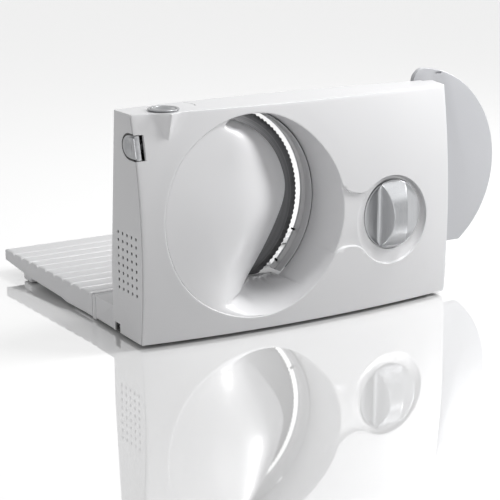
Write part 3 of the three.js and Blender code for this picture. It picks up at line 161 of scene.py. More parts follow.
# Ground stainless steel: rings of fine scratches round the blade's axle, drawn coarser than real ones to show
def groundSteel(name, colours, roughness, centre, ringMm=1.1):
    material = blankMaterial(name)
    place = addNode(material, "TexCoord").outputs["Object"]
    middle = addNode(material, "VectorMath", {"operation": "SUBTRACT", 1: (centre.x, 0.0, centre.z)},
                     {0: place})
    flat = addNode(material, "VectorMath", {"operation": "MULTIPLY", 1: (1.0, 0.0, 1.0)},
                   {0: middle.outputs[0]})
    radius = addNode(material, "VectorMath", {"operation": "LENGTH"}, {0: flat.outputs[0]})
    ring = addNode(material, "TexNoise", {"noise_dimensions": "1D", "Scale": 1000 / ringMm, "Detail": 3.0},
                   {"W": radius.outputs["Value"]}).outputs["Fac"]
    return grainedSurface(material, ring, ring, colours, (roughness - 0.06, roughness + 0.1), (0.2, 0.02),
                          {"Metallic": 1.0})


# Plain metal or rubber: one colour with small stains, and a grain of its own size
def plainStock(name, colours, roughness, grainMm, height, metallic=1.0):
    material = blankMaterial(name)
    place = addNode(material, "TexCoord").outputs["Object"]
    grain = addNode(material, "TexNoise", {"Scale": 1000 / grainMm, "Detail": 4.0},
                    {"Vector": place}).outputs["Fac"]
    return grainedSurface(material, grain, grain, colours, (roughness - 0.06, roughness + 0.06),
                          (0.3, height), {"Metallic": metallic})


slotFinish = {
    # moulded in a polished tool: near white with a soft, even shine
    "white_plastic": mouldedAbs("whiteAbs", ("#eeeeef", "#e9e9eb"), 0.3),
    # sprayed on and lightly brushed: grey that goes bright or dark with the light
    "silver_plastic": silverLacquer("silverLacquer", ("#8b8c8e", "#a2a3a5"), 0.32),
    # ground on a stone: dark steel with bright rings
    "blade_steel": groundSteel("groundBladeSteel", ("#6e6e70", "#9c9c9d"), 0.3,
                               toScene(bladeAxis[0], 0, bladeAxis[1])),
    # turned on a lathe: mid grey with a clean shine
    "plain_steel": plainStock("turnedSteel", ("#8a8c8e", "#a2a4a6"), 0.32, 0.5, 0.01),
    # drawn wire: darker, with a duller shine
    "spring_steel": plainStock("springSteel", ("#717375", "#8c8e90"), 0.35, 0.4, 0.01),
    # plated: pale and a little blue, with small spangles
    "screw_steel": plainStock("zincPlatedSteel", ("#9da0a4", "#b7babd"), 0.3, 1.5, 0.01),
    # pressed from powder: brown, dull and finely grained
    "bearing_bronze": plainStock("sinteredBronze", ("#86662f", "#a5813f"), 0.42, 0.3, 0.02),
    # moulded without dye: cream and waxy
    "nylon": mouldedAbs("naturalNylon", ("#e9e5d6", "#e1dccb"), 0.4, 1.2, 0.03),
    # moulded in a satin tool: deep black with a wide, weak shine
    "black_plastic": mouldedAbs("blackAbs", ("#161617", "#1d1d1e"), 0.42),
    # rolled bar: reddish brown with small stains
    "copper": plainStock("copperBar", ("#8f5530", "#b87545"), 0.35, 0.8, 0.01),
    # moulded in a rough tool: black with hardly any shine
    "rubber": plainStock("mouldedRubber", ("#1b1b1c", "#242425"), 0.75, 0.6, 0.04, 0.0),
}
# moulded like the white, in pale grey
paleGreyAbs = mouldedAbs("paleGreyAbs", ("#c9cacd", "#c3c4c8"), 0.32)
for entry in frame["record"]["subparts"]:
    cadMesh = frame["nodes"][entry["node"]].data
    cadMesh.materials.clear()
    cadMesh.materials.append(slotFinish[entry["material_slot"]])
print("materials ready")


# Pieces: a shell is (points, faces) in millimetres, and a mesh is made of one or more shells

def meshOf(*shells):
    points, faces = [], []
    for shellPoints, shellFaces in shells:
        start = len(points)
        points.extend(toScene(*p) for p in shellPoints)
        faces.extend([start + i for i in face] for face in shellFaces)
    mesh = bpy.data.meshes.new("shells")
    mesh.from_pydata(points, [], faces)
    build = bmesh.new()
    build.from_mesh(mesh)
    bmesh.ops.recalc_face_normals(build, faces=build.faces)
    build.to_mesh(mesh)
    build.free()
    return mesh


def carved(mesh, *cutters):
    block = bpy.data.objects.new("block", mesh)
    scene.collection.objects.link(block)
    tools = []
    for cutter in cutters:
        tool = bpy.data.objects.new("tool", cutter)
        scene.collection.objects.link(tool)
        tools.append(tool)
        cut = block.modifiers.new("cut", "BOOLEAN")
        cut.operation = "DIFFERENCE"
        cut.solver = "EXACT"
        cut.object = tool
    result = bpy.data.meshes.new_from_object(block.evaluated_get(bpy.context.evaluated_depsgraph_get()))
    for used in [block, *tools]:
        spent = used.data
        bpy.data.objects.remove(used)
        bpy.data.meshes.remove(spent)
    return result


def joinShells(mesh, *shells):
    joined = bmesh.new()
    joined.from_mesh(mesh)
    joined.from_mesh(meshOf(*shells))
    joined.to_mesh(mesh)
    joined.free()


def makePiece(name, mesh, node=None, body="housing", slot="white_plastic", crease=35, finish=None):
    mesh.name = name
    piece = bpy.data.objects.new(name, mesh)
    scene.collection.objects.link(piece)
    mesh.materials.clear()
    mesh.materials.append(finish or slotFinish[slot])
    mesh.shade_smooth()
    mesh.set_sharp_from_angle(angle=radians(crease))
    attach(piece, body)
    if node:
        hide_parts(node)
    print("piece", name, len(mesh.polygons), "faces")
    return piece


def onAxis(axis, u, v, along):
    return {"x": (along, u, v), "y": (u, along, v), "z": (u, v, along)}[axis]


def circleLine(centre, radius, count, low=0.0, high=360.0):
    steps = count if abs(high - low) >= 360 else count - 1
    turns = [radians(low + (high - low) * i / steps) for i in range(count)]
    return [(centre[0] + radius * cos(turn), centre[1] + radius * sin(turn)) for turn in turns]


def fineLine(corners, step, closed=True):
    line = []
    for (ax, ay), (bx, by) in zip(corners, corners[1:] + corners[:1] if closed else corners[1:]):
        count = max(1, round(hypot(bx - ax, by - ay) / step))
        line.extend((ax + (bx - ax) * i / count, ay + (by - ay) * i / count) for i in range(count))
    return line if closed else line + [corners[-1]]


def boxOutline(low, high, radius=0.0):
    (lu, lv), (hu, hv) = low, high
    if radius <= 0:
        return [(lu, lv), (hu, lv), (hu, hv), (lu, hv)]
    line = []
    for centre, start in (((hu - radius, lv + radius), -90), ((hu - radius, hv - radius), 0),
                          ((lu + radius, hv - radius), 90), ((lu + radius, lv + radius), 180)):
        line += circleLine(centre, radius, 6, start, start + 90)
    return line


def frameLine(half, low, top, inset, step):
    side = half - inset
    return fineLine(boxOutline((-side, low + inset), (side, top - inset)), step)


def treeOf(places):
    tree = KDTree(len(places))
    for i, (u, v) in enumerate(places):
        tree.insert((u, v, 0.0), i)
    tree.balance()
    return tree


# A closed body between two height fields over a flat outline: closed loops bound it, guides hold its creases.
# The rest is filled with a net of even triangles, a little away from these lines.
def reliefShell(loops, guides, inside, step, front, back, axis="y"):
    points, edges = [], []
    for line, closed in [(loop, True) for loop in loops] + guides:
        start, count = len(points), len(line)
        points.extend(Vector(p) for p in line)
        edges.extend((start + i, start + (i + 1) % count) for i in range(count if closed else count - 1))
    tree = treeOf(points)
    lowU, highU = min(p.x for p in points), max(p.x for p in points)
    lowV, highV = min(p.y for p in points), max(p.y for p in points)
    rowHeight, clear = 0.87 * step, 0.55 * step
    for row in range(int((highV - lowV) / rowHeight) + 1):
        v = lowV + row * rowHeight
        for column in range(int((highU - lowU) / step) + 2):
            u = lowU + (column - 0.5 * (row % 2)) * step
            if inside(u, v) and tree.find((u, v, 0.0))[2] > clear:
                points.append(Vector((u, v)))
    flat, _, triangles, *_ = delaunay_2d_cdt(points, edges, [], 0, 1e-4)
    kept = []
    for a, b, c in triangles:
        middle = (flat[a] + flat[b] + flat[c]) / 3
        if inside(middle.x, middle.y):
            turn = (flat[b] - flat[a]).cross(flat[c] - flat[a])
            kept.append((a, b, c) if turn > 0 else (a, c, b))
    used = sorted({i for face in kept for i in face})
    place = {i: n for n, i in enumerate(used)}
    count = len(used)
    shellPoints = [onAxis(axis, flat[i].x, flat[i].y, side(flat[i].x, flat[i].y)) for side in (front, back)
                   for i in used]
    faces = [[place[i] for i in face] for face in kept]
    directed = {(f[i], f[(i + 1) % 3]) for f in faces for i in range(3)}
    walls = [[b, a, a + count, b + count] for a, b in directed if (b, a) not in directed]
    faces += [[c + count, b + count, a + count] for a, b, c in faces] + walls
    return shellPoints, faces


# A turned body: profile points are (radius, place along the axis), from axis to axis or closed on itself
def turnedShell(axis, centre, profile, sides=64):
    points, faces, rows = [], [], []
    closed = profile[0] == profile[-1]
    for radius, along in profile[:-1] if closed else profile:
        ring = circleLine(centre, radius, sides) if radius > 0 else [centre]
        rows.append(range(len(points), len(points) + len(ring)))
        points += [onAxis(axis, u, v, along) for u, v in ring]
    for near, far in zip(rows, rows[1:] + rows[:1] if closed else rows[1:]):
        for i in range(sides):
            k = (i + 1) % sides
            ring = [near[i % len(near)], near[k % len(near)], far[k % len(far)], far[i % len(far)]]
            face = [n for n, before in zip(ring, ring[-1:] + ring[:-1]) if n != before]
            if len(face) > 2:
                faces.append(face)
    return points, faces


# Quads between rings of equal count, which are capped at both ends or go round to the first ring
def loftFaces(rings, count, capped=True):
    faces = []
    for r in range(rings - 1 if capped else rings):
        n = (r + 1) % rings
        for i in range(count):
            k = (i + 1) % count
            faces.append([r * count + i, r * count + k, n * count + k, n * count + i])
    if capped:
        faces += [list(range(count))[::-1], list(range((rings - 1) * count, rings * count))]
    return faces


# A flat outline run along an axis, with its cap edges rounded
def prismShell(axis, outline, span, radius, steps=3):
    turn = sum(ax * by - bx * ay for (ax, ay), (bx, by) in zip(outline, outline[1:] + outline[:1]))
    loop = outline if turn > 0 else outline[::-1]
    count = len(loop)

    def inset(distance):
        moved = []
        for i, (u, v) in enumerate(loop):
            pu, pv = loop[i - 1]
            nu, nv = loop[(i + 1) % count]
            before = Vector((u - pu, v - pv)).normalized()
            after = Vector((nu - u, nv - v)).normalized()
            lean = Vector((-before.y, before.x)) + Vector((-after.y, after.x))
            scale = distance / max(0.5, 1 + before.dot(after))
            moved.append((u + lean.x * scale, v + lean.y * scale))
        return moved

    rings = []
    for i in range(steps + 1):
        bend = pi / 2 * i / steps
        rings.append((radius * (1 - sin(bend)), span[0] + radius * (1 - cos(bend))))
    rings += [(distance, span[0] + span[1] - level) for distance, level in reversed(rings)]
    points = [onAxis(axis, u, v, level) for distance, level in rings for u, v in inset(distance)]
    return points, loftFaces(len(rings), count)


# Prisms to cut with, all but sharp at their edges
def cutterOf(axis, span, *outlines):
    return meshOf(*(prismShell(axis, outline, span, 0.01, 1) for outline in outlines))


# Front panel and slice deflector. In these dictionaries, steps are where guides hold a curve, and a band is
# the stretch over which a value changes.

panel = {
    "half": 160.0, "low": 3.0, "top": 197.5, "wall": 3.0, "bow": 12.0, "profileRadius": 445.0, "apex": 70.5,
    "step": 3.6, "edgeStep": 3.0, "edgeRound": 0.7, "rimRound": 0.9, "roundSteps": (0.1, 0.3, 0.6, 1.0),
    "seamWidth": 1.6, "seamDepth": 3.0, "seamStep": 0.1,
    "neckRadius": 20.0, "neckDepth": 2.0, "neckSoft": 0.6, "neckFade": 25.0,
    "neckSteps": (-0.6, -0.35, -0.12, 0.12, 0.35, 0.6),
    "cupRadius": 40.2, "cupDrop": 4.4, "cupShift": -2.0, "cupDepth": 3.0, "cupBend": 2.5, "cupBendRun": 60.0,
    "cupBendStart": 0.6, "cupSteps": (0.0, 0.15, 0.35, 0.6, 0.8, 0.92),
    "wellRadius": 32.5, "wellDepth": 2.2, "wellEdge": 0.2,
    "prowTop": -129.0, "prowTip": -131.0, "prowDrop": 23.5, "prowWidth": 19.0, "prowRise": 9.5,
    "prowSteps": (-1.0, -0.75, -0.5, -0.25, -0.07, -0.03, 0.0, 0.03, 0.07, 0.25, 0.5, 0.75, 1.0),
    "prowSoft": 0.8, "prowStart": 0.04, "prowLineStep": 1.5,
    "slotX": -151.7, "slotLow": 160.1, "slotHigh": 181.3,
    "flare": 0.28, "flareStart": 132.0, "flareBack": 0.6, "flareBand": (8.0, 40.0),
    "flareSpan": (-20.0, 42.0),
}
bore = {
    "x": -50.0, "z": 103.0, "radius": 88.0, "wall": 2.0, "end": 40.2, "sides": 200, "footStep": 0.3,
    "shut": 5.2, "shutLowBand": (-66.0, -56.0), "shutHighBand": (100.0, 112.0),
    "drawIn": 3.4, "drawInBand": (35.0, 85.0), "drawOut": 1.8, "drawOutBand": (110.0, 150.0), "drawRun": 15.0,
}
dish = {
    "arcX": -65.4, "arcZ": 103.0, "arcRadius": 78.3, "arcEnd": 1.552, "fall": 0.131, "fallPower": 1.35,
    "breakZ": 110.0, "breakSoft": 12.0, "breakBand": (20.0, 50.0),
    "depth": 47.0, "rise": 15.0, "riseBand": (30.0, 115.0), "edgeShift": 0.6,
    "power": 3.7, "lowPower": 2.3, "powerBand": (45.0, 115.0), "even": 0.15, "footBand": (8.0, 33.0),
    "highBand": (138.0, 185.0), "highEven": 0.6, "highPower": 0.6,
    "soft": 12.0, "slope": 0.272, "slopeBand": (50.0, 88.0), "leastSlope": 0.003, "chuteRun": 14.0,
    "chuteReach": 75.0, "wall": 2.2, "step": 2.8, "outletLow": 31.6, "tailWidth": 5.5,
    "radius": 87.98, "sunk": 1.4, "sunkRun": 40.0,
    "rimShare": 0.7, "rimSteps": (0.1, 0.3, 0.7, 1.4, 2.5, 4.0, 6.5, 9.5), "rimTurns": (-140.0, -55.5),
    "lip": 1.0, "lipSteps": (0.12, 0.35, 0.65, 1.0, 2.0), "lipShort": 6, "tailStep": 1.5, "treeStep": 0.6,
}
knob = {
    "x": 91.0, "z": 88.0, "radius": 31.5, "rim": 3.0, "rimRound": 1.0, "rimRun": 3.0, "seat": 6.7,
    "sides": 120, "rimSteps": (0.06, 0.2, 0.45, 0.75, 1.1, 2.0), "gripRise": 13.7, "gripReach": 28.5,
    "gripFoot": 13.0, "gripSlope": 0.44, "gripSoft": 0.5, "gripLine": 27.5, "dip": 2.3, "dipRun": 15.0,
    "footSoft": 3.0, "footSteps": (-0.4, 0.0, 0.4), "flankSteps": (-0.6, -0.3, 0.0, 0.3, 0.6), "step": 1.4,
    "footInset": 1.2, "footLineStep": 1.2, "gripSteps": 60,
}


def frontY(x, z):
    across = x / panel["half"]
    lean = (z - panel["apex"]) ** 2 - (panel["low"] - panel["apex"]) ** 2
    return lean / (2 * panel["profileRadius"]) - panel["bow"] * (1 - across * across)


# The right end stands at a slant: it spreads towards the rear
def flareMesh(mesh):
    for vertex in mesh.vertices:
        x, y, z = [1000 * c for c in vertex.co - toScene(0, 0, 0)]
        weight = smoothStep(panel["flareStart"], panel["half"], x) * smoothStep(*panel["flareBand"], z)
        vertex.co.x += weight * (panel["flare"] * clamp(y, *panel["flareSpan"]) - panel["flareBack"]) / 1000
    return mesh


def fromBore(x, z):
    return hypot(x - bore["x"], z - bore["z"])


def boreTurn(x, z):
    return degrees(atan2(z - bore["z"], x - bore["x"]))


def boreX(z, radius, side):
    return bore["x"] + side * sqrt(max(0.0, radius ** 2 - (z - bore["z"]) ** 2))


def edgeDepth(z):
    return dish["depth"] - dish["rise"] * (1 - smoothStep(*dish["riseBand"], z))


# The dish's edge: an arc at the top that falls away to the left below the break
def rawEdgeX(z):
    height = max(z, dish["breakZ"])
    arcX = dish["arcX"] + sqrt(max(0.0, dish["arcRadius"] ** 2 - (height - dish["arcZ"]) ** 2))
    return arcX - dish["fall"] * (height - z) ** dish["fallPower"]


def dishEdgeX(z):
    spread = dish["breakSoft"] * (1 - smoothStep(*dish["breakBand"], abs(z - dish["breakZ"])))
    drawn = sum(rawEdgeX(z + spread * share) for share in (-1, -0.5, 0, 0.5, 1)) / 5
    return drawn - dish["edgeShift"] * (dish["depth"] - edgeDepth(z))


def outletCorners(straightSteps=36, arcSteps=44):
    low, high, middle, radius = dish["outletLow"], dish["breakZ"], dish["arcZ"], dish["arcRadius"]
    heights = [low + (high - low) * i / straightSteps for i in range(straightSteps)]
    start = asin((high - middle) / radius)
    turns = [start + (dish["arcEnd"] - start) * i / arcSteps for i in range(arcSteps + 1)]
    heights += [middle + radius * sin(turn) for turn in turns]
    return [(dishEdgeX(z), z) for z in heights]


outletEdge = outletCorners()
tailTip = (-52.0, 29.6)
tailEnd = (outletEdge[0][0] + dish["tailWidth"], dish["outletLow"])
valleyFoot = (-40.0, 15.5)
boreMiddle = Vector((bore["x"], bore["z"]))
dishTree = treeOf(fineLine([valleyFoot, tailTip] + outletEdge, dish["treeStep"], False))


def edgeAt(z):
    if z >= dish["outletLow"]:
        return dishEdgeX(z)
    (lowX, lowZ), (highX, highZ) = (valleyFoot, tailTip) if z <= tailTip[1] else (tailTip, outletEdge[0])
    return lowX + (highX - lowX) * (z - lowZ) / (highZ - lowZ)


# Left of the dish's edge the floor falls from the rim to the edge, right of it a chute rises into the
# bore's wall
def dishY(x, z):
    surface = frontY(x, z)
    full = edgeDepth(z) - surface
    edge = edgeAt(z)
    if x > edge:
        toEdge = dishTree.find((x, z, 0.0))[2]
        ramp = full + (dish["depth"] - edgeDepth(z)) * smoothStep(0, dish["chuteRun"], toEdge)
    else:
        left = boreX(z, bore["radius"], -1)
        share = clamp((x - left) / max(edge - left, 0.5))
        high = smoothStep(*dish["highBand"], z)
        even = dish["even"] * (1 - dish["highEven"] * high)
        power = dish["lowPower"] + (dish["power"] - dish["lowPower"]) * smoothStep(*dish["powerBand"], z)
        power += dish["highPower"] * high
        ramp = full * (even * share + (1 - even) * share ** power) * smoothStep(*dish["footBand"], z)
    if x > bore["x"]:
        slope = dish["slope"] * smoothStep(*dish["slopeBand"], -boreTurn(x, z))
        chute = max(0.0, bore["radius"] - fromBore(x, z)) / max(slope, dish["leastSlope"])
    else:
        chute = max(0.0, (z - bore["z"] + bore["radius"]) / dish["slope"])
    return surface + max(0.0, smoothMin(ramp, min(chute, full + dish["chuteReach"]), dish["soft"]))


# The hourglass neck's two arcs touch the bore's circle and the knob cup's circle from outside
cupMiddle = Vector((knob["x"] + panel["cupShift"], knob["z"] - panel["cupDrop"]))
reach = cupMiddle - boreMiddle
bigReach = bore["radius"] + panel["neckRadius"]
smallReach = panel["cupRadius"] + panel["neckRadius"]
opening = acos((bigReach ** 2 + reach.length ** 2 - smallReach ** 2) / (2 * bigReach * reach.length))
closing = acos((smallReach ** 2 + reach.length ** 2 - bigReach ** 2) / (2 * smallReach * reach.length))
leaning = atan2(reach.y, reach.x)
neckUpper, neckLower = [boreMiddle + bigReach * Vector((cos(turn), sin(turn)))
                        for turn in (leaning + opening, leaning - opening)]
neckKite = [boreMiddle, neckLower, cupMiddle, neckUpper]


def inKite(p):
    return all((b - a).cross(p - a) > 0 for a, b in zip(neckKite, neckKite[1:] + neckKite[:1]))


# 0 at the well and 1 at the cup's rim, along circles that widen and shift from one to the other
def cupShare(x, z):
    px, pz = x - knob["x"], z - knob["z"]
    widen = panel["cupRadius"] - panel["wellRadius"]
    a = panel["cupShift"] ** 2 + panel["cupDrop"] ** 2 - widen ** 2
    b = 2 * (pz * panel["cupDrop"] - px * panel["cupShift"] - panel["wellRadius"] * widen)
    c = px * px + pz * pz - panel["wellRadius"] ** 2
    return clamp((-b - sqrt(max(0.0, b * b - 4 * a * c))) / (2 * a)) if c > 0 else 0.0


# The hourglass recess between bore and knob, the knob's cup inside it, and the narrow well for the knob
def recessDepth(x, z):
    p = Vector((x, z))
    soft = panel["neckSoft"]
    inCup = panel["cupRadius"] - (p - cupMiddle).length
    inBore = bore["radius"] - (p - boreMiddle).length
    if inKite(p):
        within = min((p - neckUpper).length, (p - neckLower).length) - panel["neckRadius"]
        share = smoothStep(-soft, soft, max(within, inCup, inBore))
    else:
        turn = degrees(atan2(p.y - boreMiddle.y, p.x - boreMiddle.x) - leaning)
        fade = 1 - smoothStep(0, panel["neckFade"], abs(turn) - degrees(opening))
        share = max(smoothStep(-soft, soft, inCup), fade * smoothStep(-soft, soft, inBore))
    depth = panel["neckDepth"] * share
    if inCup <= 0:
        return depth
    bend = 1 + panel["cupBend"] * clamp(panel["cupBendStart"] + (z - knob["z"]) / panel["cupBendRun"])
    inWell = panel["wellRadius"] - hypot(x - knob["x"], z - knob["z"])
    depth += panel["cupDepth"] * (1 - cupShare(x, z) ** bend)
    return depth + panel["wellDepth"] * clamp(inWell / panel["wellEdge"])


# The half-cone under the top button
def prowHeight(x, z):
    share = (z - panel["top"] + panel["prowDrop"]) / panel["prowDrop"]
    if share <= 0.01:
        return 0.0
    ridge = panel["prowTip"] + (panel["prowTop"] - panel["prowTip"]) * share
    off = sqrt((x - ridge) ** 2 + panel["prowSoft"]) / (panel["prowWidth"] * share)
    return panel["prowRise"] * share * max(0.0, 1 - off) ** 2


def frameGap(x, z, half, low, top):
    return min(half - abs(x), z - low, top - z)


def edgeGap(x, z):
    return frameGap(x, z, panel["half"], panel["low"], panel["top"])


def panelBase(x, z):
    return frontY(x, z) + recessDepth(x, z)


def panelFrontY(x, z):
    y = panelBase(x, z) - prowHeight(x, z) + filletDrop(fromBore(x, z) - bore["radius"], panel["rimRound"])
    return y + filletDrop(edgeGap(x, z), panel["edgeRound"])


# The bore has a wall to the rear where the slices fall, and is shut by the dish elsewhere
def panelBackY(x, z):
    if fromBore(x, z) - bore["radius"] <= bore["wall"] + 0.01:
        turn = boreTurn(x, z)
        shut = panelBase(x, z) + bore["shut"]
        openShare = smoothStep(*bore["shutLowBand"], turn) * (1 - smoothStep(*bore["shutHighBand"], turn))
        return shut + (bore["end"] - shut) * openShare
    seam = panel["seamWidth"] if panel["half"] - abs(x) < panel["seamDepth"] + 0.01 else 0.0
    return panelBase(x, z) + panel["wall"] - seam


def inPanel(x, z):
    if edgeGap(x, z) < -1e-4 or fromBore(x, z) < bore["radius"] - 0.02:
        return False
    return not (x < panel["slotX"] and panel["slotLow"] < z < panel["slotHigh"])


# The rim lies a little left of the bore behind it
def drawRim(points, share):
    for i in range(len(points) // 2):
        x, y, z = points[i]
        fromMiddle = max(fromBore(x, z), 1.0)
        turn = abs(boreTurn(x, z))
        pull = bore["drawIn"] * (1 - smoothStep(*bore["drawInBand"], turn))
        pull -= bore["drawOut"] * smoothStep(*bore["drawOutBand"], turn)
        pull *= share * (1 - smoothStep(0, bore["drawRun"], abs(fromMiddle - bore["radius"])))
        points[i] = (x - pull * (x - bore["x"]) / fromMiddle, y, z - pull * (z - bore["z"]) / fromMiddle)


def frontPanel():
    half, low, top, edgeStep = panel["half"], panel["low"], panel["top"], panel["edgeStep"]
    rim = [(-half, low), (half, low), (half, top), (-half, top), (-half, panel["slotHigh"]),
           (panel["slotX"], panel["slotHigh"]), (panel["slotX"], panel["slotLow"]), (-half, panel["slotLow"])]
    guides = []

    def holdBore(out):
        guides.append((circleLine(boreMiddle, bore["radius"] + out, bore["sides"]), True))

    for share in panel["roundSteps"]:
        guides.append((frameLine(half, low, top, panel["edgeRound"] * share, edgeStep), True))
        holdBore(panel["rimRound"] * share)
    holdBore(bore["wall"])
    holdBore(bore["wall"] + bore["footStep"])
    for side in (-1, 1):
        for d in (panel["seamDepth"], panel["seamDepth"] + panel["seamStep"]):
            x = side * (half - d)
            guides.append((fineLine([(x, low + 1), (x, top - 1)], edgeStep, False), False))
    for off in panel["neckSteps"]:
        guides.append((circleLine(cupMiddle, panel["cupRadius"] + off, 140), True))
        for centre, start, end in ((neckUpper, leaning - closing, leaning + opening - pi),
                                   (neckLower, leaning - opening + pi, leaning + closing)):
            turns = sorted((degrees(start), degrees(end)))
            guides.append((circleLine(centre, panel["neckRadius"] + off, 28, *turns), False))
    well, widen = panel["wellRadius"], panel["cupRadius"] - panel["wellRadius"]
    guides.append((circleLine((knob["x"], knob["z"]), well - panel["wellEdge"], knob["sides"]), True))
    for share in panel["cupSteps"]:
        centre = (knob["x"] + panel["cupShift"] * share, knob["z"] - panel["cupDrop"] * share)
        guides.append((circleLine(centre, well + widen * share, knob["sides"]), True))
    start = panel["prowStart"]
    for side in panel["prowSteps"]:
        width = side * panel["prowWidth"]
        foot = (panel["prowTip"] + width * start, top - panel["prowDrop"] + panel["prowDrop"] * start)
        head = (panel["prowTop"] + width, top - 0.02)
        guides.append((fineLine([foot, head], panel["prowLineStep"], False), False))
    loops = [fineLine(rim, edgeStep), circleLine(boreMiddle, bore["radius"], bore["sides"])]
    points, faces = reliefShell(loops, guides, inPanel, panel["step"], panelFrontY, panelBackY)
    drawRim(points, 1.0)
    makePiece("frontPanel", flareMesh(meshOf((points, faces))), "front_panel", crease=40)


def inOutlet(x, z):
    if z > dish["outletLow"]:
        return x > dishEdgeX(z)
    if z < tailTip[1]:
        return False
    share = (z - tailTip[1]) / (dish["outletLow"] - tailTip[1])
    left, right = [tailTip[0] + (end - tailTip[0]) * share for end in (outletEdge[0][0], tailEnd[0])]
    return left < x < right


def inDeflector(x, z):
    return fromBore(x, z) < dish["radius"] + 0.01 and not inOutlet(x, z)


def deflectorFrontY(x, z):
    share = clamp((x - boreX(z, bore["radius"], -1)) / dish["sunkRun"])
    y = dishY(x, z) + dish["sunk"] * (1 - share)
    fromEdge = dishTree.find((x, z, 0.0))[2] if z > dish["outletLow"] else dish["lip"]
    return y + filletDrop(fromEdge, dish["lip"])


def deflectorBackY(x, z):
    return dishY(x, z) + dish["wall"] + dish["sunk"]


# The turn at which a circle round the bore passes over the middle of the dish's arc
def arcTopTurn(radius):
    return boreTurn(dish["arcX"], bore["z"] + sqrt(radius ** 2 - (dish["arcX"] - bore["x"]) ** 2))


def sliceDeflector():
    radius, low = dish["radius"], dish["outletLow"]
    rightX = boreX(low, radius, 1)
    outline = circleLine(boreMiddle, radius, 150, arcTopTurn(radius), 360 + boreTurn(rightX, low))
    outline += fineLine([(rightX, low), tailEnd, tailTip, outletEdge[0]], dish["tailStep"], False)[1:-1]
    outline += outletEdge
    guides = []
    for d in dish["lipSteps"]:
        line = []
        for (ax, az), (bx, bz), (cx, cz) in zip(outletEdge, outletEdge[1:], outletEdge[2:-dish["lipShort"]]):
            along = Vector((cx - ax, cz - az)).normalized()
            line.append((bx - along.y * d, bz + along.x * d))
        guides.append((line, False))
    guides += [(circleLine(boreMiddle, radius - d, 70, *dish["rimTurns"]), False) for d in dish["rimSteps"]]
    points, faces = reliefShell([outline], guides, inDeflector, dish["step"], deflectorFrontY, deflectorBackY)
    drawRim(points, dish["rimShare"])
    makePiece("sliceDeflector", meshOf((points, faces)), "slice_deflector", crease=50)


frontPanel()
sliceDeflector()


# Thickness knob

knobBack = frontY(knob["x"], knob["z"]) + knob["seat"]
knobRimY = knobBack - knob["rim"]


def gripHeight(up):
    arc = (knob["gripReach"] ** 2 + knob["gripRise"] ** 2) / (2 * knob["gripRise"])
    return sqrt(max(0.0, arc ** 2 - up ** 2)) - arc + knob["gripRise"]


# A grip with straight flanks rises from a floor that dips beside it
def knobFrontY(x, z):
    off, up = abs(x - knob["x"]), z - knob["z"]
    fromEdge = knob["radius"] - hypot(off, up)
    near = clamp(fromEdge / knob["rimRun"])
    grip = smoothMin(gripHeight(up), (knob["gripFoot"] - off) / knob["gripSlope"], knob["gripSoft"])
    floor = -knob["dip"] * clamp(1 - (off - knob["gripFoot"]) / knob["dipRun"]) * near
    height = smoothMax(grip, floor, knob["footSoft"] * max(near, 0.01))
    return knobRimY - height + filletDrop(fromEdge, knob["rimRound"])


def thicknessKnob():
    x, z, radius = knob["x"], knob["z"], knob["radius"]
    guides = [(circleLine((x, z), radius - d, knob["sides"]), True) for d in knob["rimSteps"]]
    foot = knob["gripFoot"] + knob["gripSlope"] * knob["dip"]
    for side in (-1, 1):
        for off in knob["footSteps"]:
            out = foot + off
            tall = sqrt((radius - knob["footInset"]) ** 2 - out ** 2)
            line = [(x + side * out, z - tall), (x + side * out, z + tall)]
            guides.append((fineLine(line, knob["footLineStep"], False), False))
        steps = knob["gripSteps"]
        heights = [-knob["gripLine"] + 2 * knob["gripLine"] * i / steps for i in range(steps + 1)]
        for off in knob["flankSteps"]:
            guides.append(([(x + side * (knob["gripFoot"] - knob["gripSlope"] * gripHeight(up) + off), z + up)
                            for up in heights], False))
    shell = reliefShell([circleLine((x, z), radius, knob["sides"])], guides,
                        lambda u, v: hypot(u - x, v - z) < radius + 0.01, knob["step"],
                        knobFrontY, lambda u, v: knobBack)
    makePiece("thicknessKnob", meshOf(shell), "thickness_knob", "knob", "silver_plastic", 45)


thicknessKnob()


# Blade with a ground bevel and a waved edge

# edge: places on the ground edge, as (in from the rim, back from the front face)
blade = {
    "radius": 86.4, "front": 60.8, "bore": 8.0, "rings": (20.0, 50.0), "waves": 116, "waveDepth": 1.0,
    "waveRun": 3.0, "waveSides": 6, "edge": ((7.0, 0.0), (1.6, 0.25), (0.0, 0.95), (0.0, 1.1)),
    "backBevel": 1.2,
}


def waveBlade():
    edge, front = blade["radius"], blade["front"]
    steps = blade["waves"] * blade["waveSides"]
    hub, flats = blade["bore"], blade["rings"]
    rings = [(hub, bladeRear), (hub, front)] + [(radius, front) for radius in flats]
    rings += [(edge - inward, front + back) for inward, back in blade["edge"]]
    rings += [(edge - blade["backBevel"], bladeRear)] + [(radius, bladeRear) for radius in reversed(flats)]
    points = []
    for radius, y in rings:
        near = clamp((radius - edge + blade["waveRun"]) / blade["waveRun"])
        for i in range(steps):
            turn = 2 * pi * i / steps
            r = radius - near * blade["waveDepth"] * (1 - abs(sin(turn * blade["waves"] / 2)))
            points.append((bladeAxis[0] + r * cos(turn), y, bladeAxis[1] + r * sin(turn)))
    shell = (points, loftFaces(len(rings), steps, capped=False))
    makePiece("waveBlade", meshOf(shell), "blade", "blade", "blade_steel", 30)


waveBlade()


# Stop plate: round lobe, flange beside the blade, sliding collar with a bead, and the post for the cam

